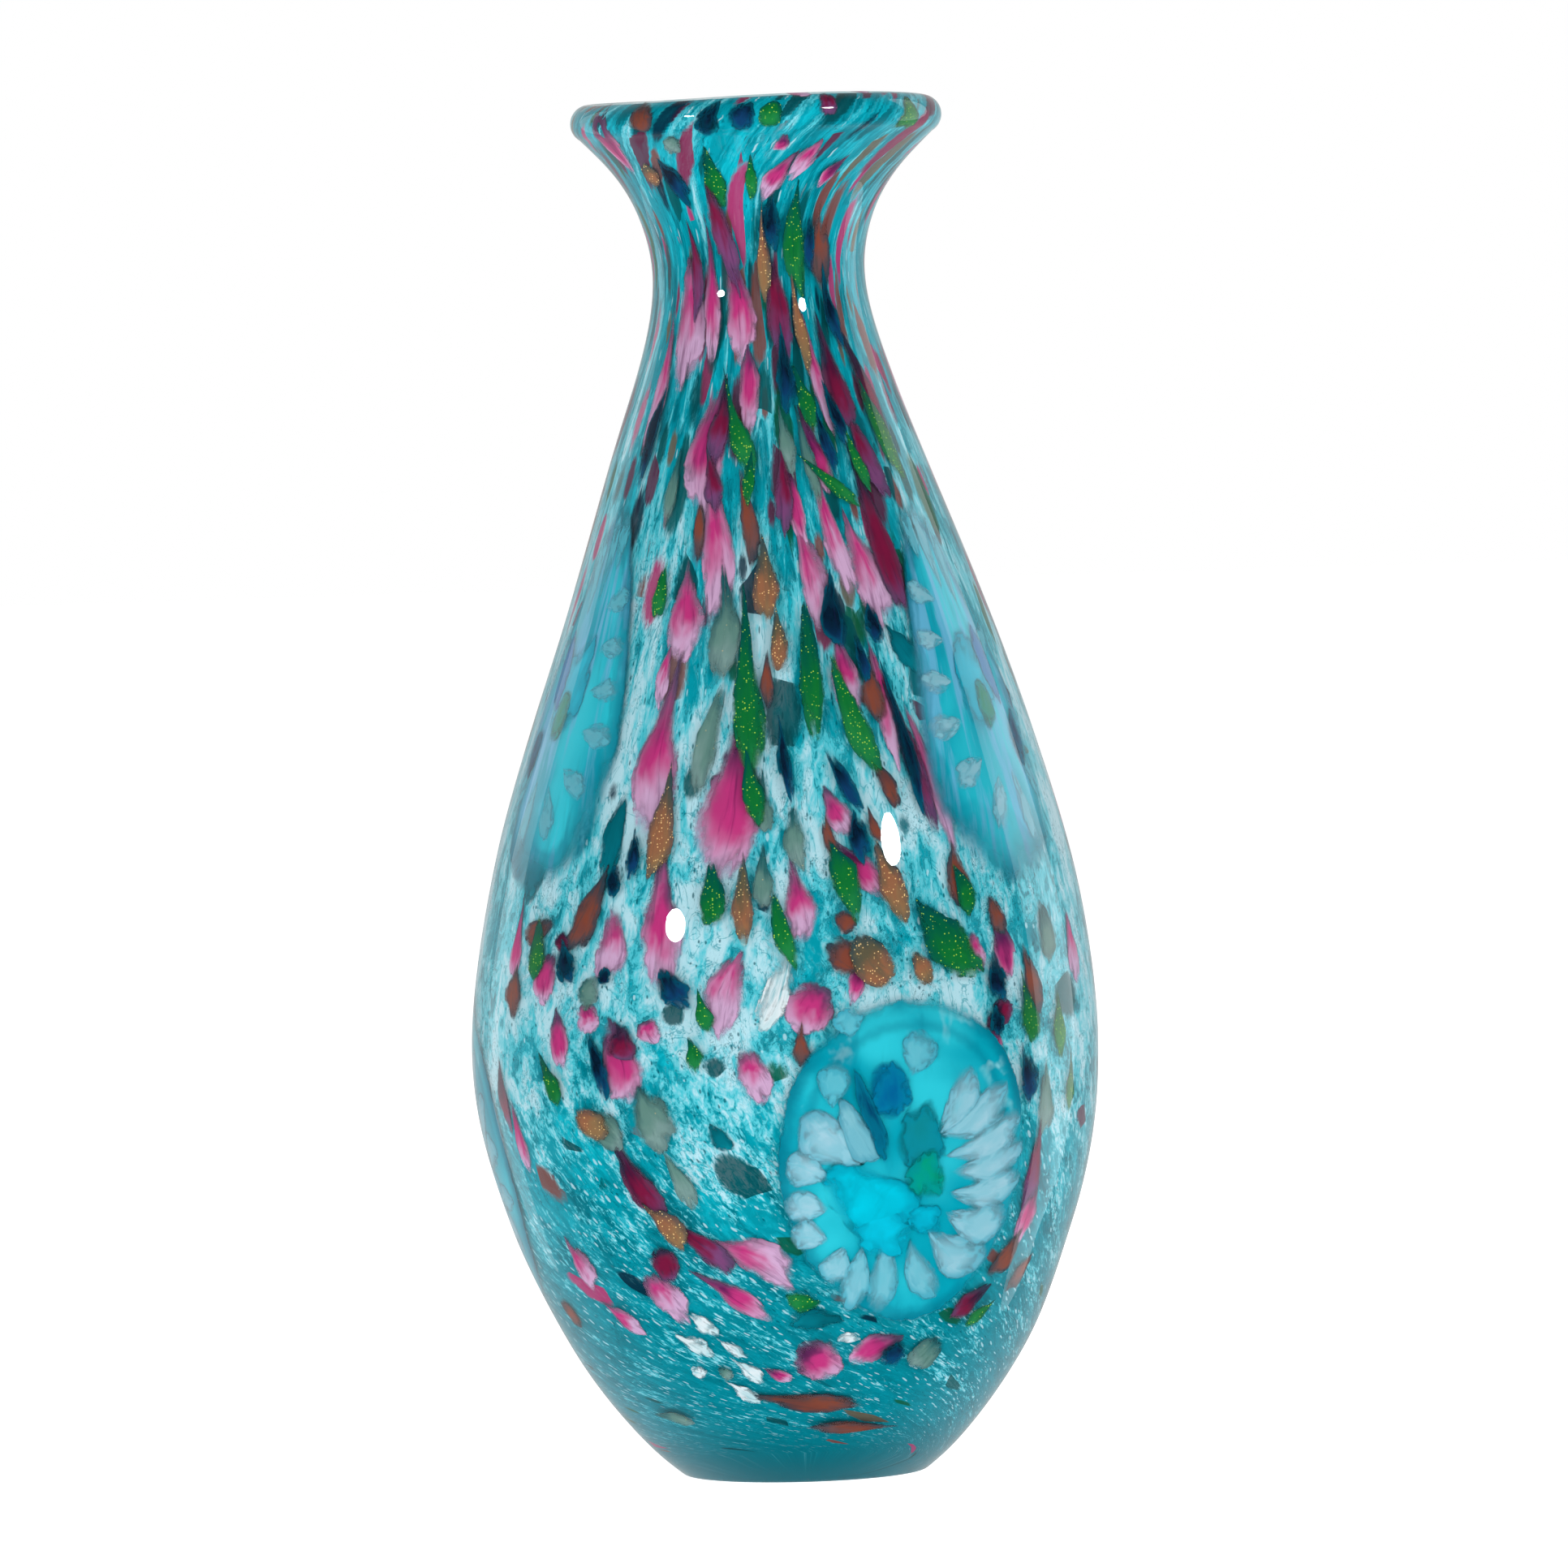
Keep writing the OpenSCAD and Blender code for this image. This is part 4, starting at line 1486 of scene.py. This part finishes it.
@dataclass
class Murrine:
    """A slice of patterned cane laid on the wall.

    Attributes:
        name: Name of its nodes, without their endings.
        ring: Where it sits.
        mirror: -1 if its pattern is turned over from left to right.
        milky: How white its cells are, as a share of the pattern's own.
        milk: Colour of its whitest cells.
        thin: Colour of its clearest cells.
    """

    name: str
    ring: Ring
    mirror: int = 1
    milky: float = 1.0
    milk: Colour = shade(146, 188, 202)
    thin: Colour = shade(40, 162, 180)

    def __post_init__(self) -> None:
        """Starts its dice."""
        self.dice = random.Random(self.name)

    def _measure(self, outline: Outline) -> None:
        """Finds the slice's middle and half sizes from its disc.

        Args:
            outline: The vase's outline.
        """
        corners = [outline.find(co) for co in islands(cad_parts[f"{self.name}_disc"])[0]]
        start = corners[0][0]
        turns = [start + (a - start + math.pi) % (2 * math.pi) - math.pi for a, _, _ in corners]
        ways = [w for _, w, _ in corners]
        self.azimuth = (max(turns) + min(turns)) / 2
        self.way = (max(ways) + min(ways)) / 2
        self.radius = outline.read(self.way)[0].x
        self.half_high = (max(ways) - min(ways)) / 2
        self.half_wide = self.radius * math.sin((max(turns) - min(turns)) / 2)
        self.drop = 0.05 if self.ring is not Ring.UPPER else 0.40
        self.front = min(d for _, _, d in corners)
        self.back = max(d for _, _, d in corners)

    def _spot(self, across: float, up: float) -> Vector:
        """Distance right and up of the slice's middle, in metres, at shares of the slice.

        Args:
            across: Share of its half width.
            up: Share of its half height.

        Returns:
            The distance.
        """
        return Vector((self.mirror * across * self.half_wide * (1 - self.drop * up), up * self.half_high))

    def _cells(self) -> list[Cell]:
        """The white cells: listed one by one at the front and above, by turn elsewhere."""
        if self.ring is not Ring.LOWER:
            return FRONT_CELLS if self.ring is Ring.FRONT else UPPER_CELLS
        count = 16
        cells = []
        for k in range(count):
            a = 2 * math.pi * (k + 0.5 + self.dice.uniform(-0.15, 0.15)) / count
            sweep = self.dice.uniform(0.15, 0.55)
            near, far = self.dice.uniform(0.36, 0.5), self.dice.uniform(0.74, 0.88)
            cells.append(Cell((near * math.cos(a - sweep), near * math.sin(a - sweep)),
                              (far * math.cos(a), far * math.sin(a)), self.dice.uniform(0.12, 0.17),
                              self.dice.uniform(0.2, 0.7), self.dice.uniform(0.35, 1.0)))
        return cells

    def _blobs(self) -> list[Blob]:
        """The coloured parts of the core."""
        if self.ring is not Ring.LOWER:
            return FRONT_BLOBS if self.ring is Ring.FRONT else UPPER_BLOBS
        turn = self.dice.uniform(-0.3, 0.3)
        sky, sea, ink = shade(6, 178, 202), shade(6, 132, 112), shade(4, 74, 120)
        return [Blob((turn, -0.12), (0.42, 0.30), 0.4, sky),
                Blob((0.15 - turn, 0.15), (0.15, 0.24), 0.2, sea, -0.3, 0.1),
                Blob((-0.15, 0.38), (0.13, 0.16), -0.2, ink, 0.2, 0.1)]

    def _lay(self, pieces: WallPieces, a: Vector, b: Vector, wide: float, depth: float, thick: float,
             bend: float, taper: float, tint: Colour, waver: float = 0.08, point: float = 0.0) -> None:
        """Lays a patch from one place on the slice to another.

        Args:
            pieces: The mesh that it is laid in.
            a: Where it starts.
            b: Where it ends.
            wide: Half its width, in metres.
            depth: Share of the clear glass from outside.
            thick: Half its thickness, as a share of the clear glass.
            bend: Sideways bend of its ends.
            taper: How much narrower its end is than its start.
            tint: Its colour.
            waver: How uneven its outline is.
            point: How pointed its ends are, 0 to 1.
        """
        middle, reach = (a + b) / 2, b - a
        pieces.lay(Patch(self.azimuth + middle.x / self.radius, self.way + middle.y, reach.length / 2, wide,
                         math.atan2(reach.x, reach.y), depth, thick, taper, point, 0.0, bend, waver,
                         seed=self.dice.random(), tint=tint), 18)

    def build(self, body: GlassBody, disc_glass: bpy.types.Material, cell_glass: bpy.types.Material,
              core_glass: bpy.types.Material, wander: HandWander) -> None:
        """Builds and ties the slice's three pieces.

        Args:
            body: The wall that it lies in.
            disc_glass: Glass of its disc.
            cell_glass: Glass of its cells.
            core_glass: Glass of its core.
            wander: The wander that it follows.
        """
        outline = body.outline
        self._measure(outline)
        middle = (self.front + self.back) / 2
        disc = WallPieces(f"{self.name}_slice", outline)
        thick = (self.back - self.front) / 2
        disc.lay(Patch(self.azimuth, self.way, self.half_high * 1.02, self.half_wide * 1.03, 0.0, middle,
                       thick, self.drop * 0.9, waver=0.06, seed=self.dice.random()), 56, 12)
        put_on(disc.build(disc_glass, wander), "murrine_aqua", f"{self.name}_disc")
        cells = WallPieces(f"{self.name}_cells", outline)
        for cell in self._cells():
            tint = tuple(between(t, m, cell.milk * self.milky) for t, m in zip(self.thin, self.milk))
            self._lay(cells, self._spot(*cell.inner), self._spot(*cell.outer),
                      cell.wide * self.half_wide * 0.88, self.front - 0.02, 0.06, cell.bend, -0.5, tint,
                      point=0.3)
        put_on(cells.build(cell_glass, wander), "murrine_white", f"{self.name}_petals")
        core = WallPieces(f"{self.name}_heart", outline)
        for blob in self._blobs():
            half = Vector((math.sin(blob.lean), math.cos(blob.lean))) * blob.half[1] * self.half_high
            spot = self._spot(*blob.middle)
            self._lay(core, spot - half, spot + half, blob.half[0] * self.half_wide,
                      self.front - 0.05 - blob.lift, 0.05, 0.1, blob.taper, blob.tint, 0.30)
        put_on(core.build(core_glass, wander), "murrine_core", f"{self.name}_core")


FRONT_CELLS = [
    Cell((-0.38, 0.00), (-0.84, 0.30), 0.21, 0.25), Cell((-0.62, -0.07), (-0.94, 0.05), 0.16, 0.1),
    Cell((-0.62, -0.25), (-0.95, -0.20), 0.15, 0.1), Cell((-0.62, -0.44), (-0.90, -0.38), 0.14, -0.1),
    Cell((-0.50, -0.48), (-0.60, -0.72), 0.14, 0.0, 0.8),
    Cell((-0.36, -0.48), (-0.44, -0.90), 0.13, 0.2, 0.6),
    Cell((-0.17, -0.42), (-0.20, -0.94), 0.14, 0.3, 0.5),
    Cell((0.00, -0.46), (0.28, -0.86), 0.14, -0.5, 0.55),
    Cell((0.15, -0.44), (0.72, -0.66), 0.20, -0.6, 0.9), Cell((0.29, -0.34), (0.90, -0.40), 0.19, -0.5, 0.95),
    Cell((0.30, -0.22), (0.99, -0.14), 0.16, -0.5, 1.0), Cell((0.30, -0.10), (1.00, 0.06), 0.16, -0.5, 1.0),
    Cell((0.26, 0.00), (0.98, 0.23), 0.17, -0.5, 1.0), Cell((0.20, 0.12), (0.84, 0.41), 0.17, -0.5, 1.0),
    Cell((0.20, 0.14), (0.52, 0.54), 0.16, -0.4, 0.9), Cell((-0.02, 0.50), (0.10, 0.78), 0.17, 0.0, 0.35),
    Cell((-0.60, 0.34), (-0.56, 0.62), 0.15, 0.0, 0.3), Cell((-0.45, 0.74), (-0.50, 0.92), 0.13, 0.0, 0.3)]
FRONT_BLOBS = [
    Blob((-0.30, -0.22), (0.40, 0.24), 0.5, shade(2, 184, 208), -0.1),
    Blob((-0.22, -0.40), (0.26, 0.16), 0.1, shade(6, 180, 206)),
    Blob((0.12, -0.34), (0.16, 0.10), 0.3, shade(4, 168, 194)),
    Blob((-0.42, 0.20), (0.12, 0.22), -0.5, shade(118, 176, 190), 0.2),
    Blob((-0.17, 0.44), (0.17, 0.19), -0.10, shade(2, 88, 138), 0.1, 0.05),
    Blob((-0.32, 0.30), (0.07, 0.28), -0.35, shade(3, 62, 96), 0.3, 0.10),
    Blob((0.05, 0.16), (0.20, 0.22), 0.05, shade(12, 122, 132), 0.25, 0.02),
    Blob((0.10, -0.06), (0.17, 0.15), 0.10, shade(2, 142, 108), 0.45, 0.12)]
UPPER_CELLS = [
    Cell((-0.25, 0.42), (-0.85, 0.50), 0.19, 0.1, 0.8), Cell((-0.30, 0.22), (-0.88, 0.24), 0.18, 0.1),
    Cell((-0.30, 0.02), (-0.90, 0.02), 0.19, 0.1), Cell((-0.28, -0.18), (-0.88, -0.22), 0.20),
    Cell((-0.10, -0.36), (-0.62, -0.50), 0.21, 0.0, 0.9), Cell((0.08, -0.44), (-0.15, -0.74), 0.20, 0.1, 0.9),
    Cell((0.30, -0.42), (0.35, -0.82), 0.18, 0.1, 0.6), Cell((0.50, -0.25), (0.75, -0.60), 0.16, 0.1, 0.4),
    Cell((-0.30, 0.60), (-0.40, 0.90), 0.14, 0.1, 0.4), Cell((0.05, 0.45), (0.00, 0.92), 0.13, 0.1, 0.6),
    Cell((0.35, 0.35), (0.45, 0.85), 0.12, 0.1, 0.4), Cell((0.60, 0.10), (0.85, 0.30), 0.14, 0.1, 0.3)]
UPPER_BLOBS = [
    Blob((0.12, 0.02), (0.40, 0.28), 0.1, shade(6, 172, 196)),
    Blob((0.18, -0.10), (0.18, 0.14), 0.1, shade(8, 122, 92), 0.1, 0.1),
    Blob((0.48, 0.12), (0.14, 0.22), -0.1, shade(44, 104, 160), 0.1, 0.1),
    Blob((0.62, -0.30), (0.16, 0.14), 0.1, shade(4, 50, 84), 0.1, 0.1)]


# ---------------------------------------------------------------- the room

@dataclass(frozen=True)
class Softbox:
    """A lamp.

    Attributes:
        name: Its name.
        azimuth: Turn from the front, in degrees, positive to the right.
        rise: Angle above the vase's middle, in degrees.
        distance: How far away it is, in metres.
        size: Its width, in metres.
        power: Its power, in watts.
        seen: True if it shows in the glass.
        tall: Its height, in metres, or 0 if it is round.
    """

    name: str
    azimuth: float
    rise: float
    distance: float
    size: float
    power: float
    seen: bool = True
    tall: float = 0.0

    def build(self, target: Vector) -> None:
        """Hangs the lamp, facing the target.

        Args:
            target: The point that it faces.
        """
        lamp = bpy.data.lights.new(self.name, "AREA")
        lamp.shape = "ELLIPSE" if self.tall else "DISK"
        lamp.size = self.size
        if self.tall:
            lamp.size_y = self.tall
        lamp.energy = self.power
        turn, rise = math.radians(self.azimuth), math.radians(self.rise)
        away = Vector((math.sin(turn) * math.cos(rise), -math.cos(turn) * math.cos(rise), math.sin(rise)))
        made = bpy.data.objects.new(self.name, lamp)
        made.location = target + away * self.distance
        made.rotation_euler = away.to_track_quat("Z", "Y").to_euler()
        made.visible_camera = False
        made.visible_glossy = self.seen
        made.visible_transmission = False
        bpy.context.scene.collection.objects.link(made)


@dataclass
class Studio:
    """Floor, air, lamps and camera.

    Attributes:
        lamps: Two small softboxes that show as highlights, panels that veil the sides, and fills that
            don't show.
        lit: The point that they face.
        roll: Lean of the camera, in degrees.
        stand: Where the camera stands.
        aim: The point that it faces.
        lens: Its focal length, in millimetres.
        floor_size: Radius of the floor.
    """

    lamps: tuple[Softbox, ...] = (
        Softbox("left_softbox", -42, 15.5, 1.5, 0.20, 5.2, True, 0.09),
        Softbox("right_softbox", 46, 23, 1.5, 0.20, 4.8, True, 0.14),
        Softbox("right_panel", 118, 6, 1.6, 0.8, 5.0, True, 2.4),
        Softbox("left_panel", -132, 6, 1.8, 0.5, 1.6, True, 2.2),
        Softbox("front_fill", 0, 25, 2.6, 2.4, 15.0, False),
        Softbox("top_fill", 180, 75, 2.2, 2.4, 12.0, False))
    lit: tuple[float, float, float] = (0.0, 0.0, 0.16)
    roll: float = -1.7
    stand: tuple[float, float, float] = (1.2 * MM, -3.0, 0.285)
    aim: tuple[float, float, float] = (1.2 * MM, 0.0, 0.1655)
    lens: float = 287.1
    floor_size: float = 9.0

    def build(self) -> None:
        """Sets up the room."""
        scene = bpy.context.scene
        scene.view_settings.view_transform = "Standard"
        self._air(scene)
        self._floor()
        for lamp in self.lamps:
            lamp.build(Vector(self.lit))
        self._camera(scene)

    def _air(self, scene: bpy.types.Scene) -> None:
        """White behind the vase; dim in its reflections at the front, brighter behind.

        Args:
            scene: The scene.
        """
        world = bpy.data.worlds.new("studio_air")
        world.use_nodes = True
        scene.world = world
        b = Board(world.node_tree)
        air = world.node_tree.nodes["Background"]
        facing = b.part(b.add("ShaderNodeTexCoord").outputs["Generated"])[1]
        rays = b.add("ShaderNodeLightPath").outputs
        glints = b.step(facing, -0.1, 0.75, (0.004, 0.55))
        level = b.math("ADD", b.math("MULTIPLY", rays["Is Glossy Ray"], glints),
                       b.math("MULTIPLY", b.math("SUBTRACT", 1.0, rays["Is Glossy Ray"]), 0.26))
        level = b.math("MAXIMUM", level, rays["Is Camera Ray"])
        b.feed(air.inputs["Strength"], level)
        air.inputs["Color"].default_value = (1.0, 1.0, 1.0, 1.0)

    def _floor(self) -> None:
        """A pale floor under the foot."""
        material, b, paint, _ = new_material("pale_floor")
        place = b.add("ShaderNodeTexCoord").outputs["Object"]
        tone = b.step(b.clouds(place, 3.0, 2), 0.3, 0.7, (0.88, 0.92))
        b.feed(paint.inputs["Base Color"], b.join(tone, tone, tone))
        paint.inputs["Roughness"].default_value = 0.9
        paint.inputs["Specular IOR Level"].default_value = 0.0
        paint.inputs["Emission Color"].default_value = (1.0, 1.0, 1.0, 1.0)
        paint.inputs["Emission Strength"].default_value = 0.86
        bm = bmesh.new()
        bmesh.ops.create_circle(bm, cap_ends=True, segments=96, radius=self.floor_size)
        floor = make_object("studio_floor", bm, material)
        floor.visible_glossy = False

    def _camera(self, scene: bpy.types.Scene) -> None:
        """A long lens a little above the vase's middle.

        Args:
            scene: The scene.
        """
        lens = bpy.data.cameras.new("front_view")
        lens.sensor_width = 36.0
        lens.lens = self.lens
        lens.clip_end = 60.0
        camera = bpy.data.objects.new("front_view", lens)
        camera.location = self.stand
        ahead = Vector(self.aim) - camera.location
        turn = ahead.to_track_quat("-Z", "Y").to_matrix()
        camera.rotation_euler = (turn @ Matrix.Rotation(math.radians(self.roll), 3, "Z")).to_euler()
        scene.collection.objects.link(camera)
        scene.camera = camera


# ---------------------------------------------------------------- the whole

CHIPS = (
    ChipScatter("pink_chips", "pink_glass", ChipGlass(
        "pink_glass", shade(88, 28, 76), shade(178, 50, 114), shade(192, 156, 190),
        rim_amount=0.6, rim_low=0.1, streak=shade(80, 20, 72), streak_amount=0.6, halo=0.75, softness=0.34)),
    ChipScatter("ruby_chips", "ruby_glass", ChipGlass(
        "ruby_glass", shade(48, 18, 46), shade(112, 22, 56), shade(112, 64, 108),
        rim_amount=0.6, streak=shade(24, 30, 56), streak_amount=0.6, halo=0.4, softness=0.30)),
    ChipScatter("green_chips", "green_aventurine", ChipGlass(
        "green_aventurine_glass", shade(4, 84, 58), shade(14, 104, 46), shade(30, 120, 60),
        rim_amount=0.6, streak=shade(3, 62, 52), spark=shade(168, 214, 70), spark_amount=0.26,
        spark_size=0.52)),
    ChipScatter("copper_chips", "copper_aventurine", ChipGlass(
        "copper_aventurine_glass", shade(86, 80, 62), shade(138, 92, 66), shade(132, 104, 72),
        rim_amount=0.7, streak=shade(40, 80, 70), spark=shade(255, 216, 140), spark_amount=0.34,
        spark_size=0.50)),
    ChipScatter("navy_chips", "navy_glass", ChipGlass(
        "navy_glass", shade(6, 32, 50), shade(6, 26, 44), shade(14, 56, 96),
        rim=shade(2, 84, 104), rim_amount=0.7, rim_low=1.0, streak=shade(26, 20, 60), softness=0.36)),
    ChipScatter("rust_chips", "rust_glass", ChipGlass(
        "rust_glass", shade(90, 56, 54), shade(122, 64, 50), shade(100, 72, 72),
        rim_amount=0.75, rim_low=1.0, streak=shade(50, 60, 58), streak_amount=0.6, softness=0.32)),
    ChipScatter("smoke_chips", "smoke_glass", ChipGlass(
        "smoke_glass", shade(40, 96, 98), shade(92, 130, 122), shade(120, 150, 146),
        rim_amount=0.5, streak=shade(30, 70, 70), body=0.85, softness=0.34, spark=shade(214, 190, 130),
        spark_amount=0.06)),
    ChipScatter("white_chips", "white_glass", ChipGlass(
        "white_glass", shade(176, 204, 210), shade(206, 216, 220), shade(176, 204, 210),
        rim_amount=0.0, streak=shade(40, 150, 164), streak_amount=0.8, softness=0.6, waver=0.9)),
    ChipScatter("teal_chips", "teal_glass", ChipGlass(
        "teal_glass", shade(4, 92, 104), shade(4, 104, 118), shade(8, 128, 142),
        rim_amount=0.3, streak=shade(2, 60, 76), softness=0.35)))
MURRINES = (
    Murrine("lower_front", Ring.FRONT), Murrine("lower_back", Ring.LOWER), Murrine("lower_left", Ring.LOWER),
    Murrine("upper_left", Ring.UPPER, -1, 0.45), Murrine("upper_right", Ring.UPPER),
    Murrine("upper_back", Ring.UPPER))


def main() -> None:
    """Builds the room, the cased wall, the chips and the murrines."""
    logging.basicConfig(level=logging.INFO, format="%(message)s")
    Studio().build()
    effects, wander, body = Effects(), HandWander(), GlassBody()
    put_on(body.casing(ClearGlass().build(effects), wander), "clear_glass", "clear_casing", "colour_gather")
    put_on(body.ground(GroundGlass().build(effects), wander), "turquoise_glass", "turquoise_ground")
    put_on(body.lining(OpalGlass().build(effects), wander), "opal_glass", "opal_lining")
    for chips in CHIPS:
        put_on(chips.build(body, effects, wander), chips.slot, chips.node)
    disc_glass = SliceGlass().build(effects)
    streaked_glass = SliceGlass("murrine_streaked_glass", milk=shade(98, 166, 200), across=5.0, milky=0.8,
                                softness=0.16).build(effects)
    cell_glass = ChipGlass(
        "murrine_white_glass", shade(60, 168, 186), shade(150, 196, 208), shade(150, 196, 208),
        rim=shade(4, 138, 162), rim_amount=0.55, streak=shade(96, 182, 196), streak_amount=0.35,
        softness=0.40, waver=0.08, tinted=True).build(effects)
    soft_cell_glass = ChipGlass(
        "murrine_milky_glass", shade(60, 168, 186), shade(150, 196, 208), shade(150, 196, 208),
        rim=shade(40, 164, 184), rim_amount=0.3, streak=shade(96, 182, 196), streak_amount=0.5,
        body=0.8, softness=0.6, waver=0.2, tinted=True).build(effects)
    core_glass = ChipGlass("murrine_core_glass", shade(4, 140, 166), shade(4, 160, 186), shade(4, 160, 186),
                           rim=shade(4, 120, 144), rim_amount=0.5, streak=shade(3, 110, 130),
                           streak_amount=0.25,
                           softness=0.36, waver=0.20, tinted=True).build(effects)
    for murrine in MURRINES:
        upper = murrine.ring is Ring.UPPER
        murrine.build(body, streaked_glass if upper else disc_glass, soft_cell_glass if upper else cell_glass,
                      core_glass, wander)


if __name__ == "__main__":
    main()
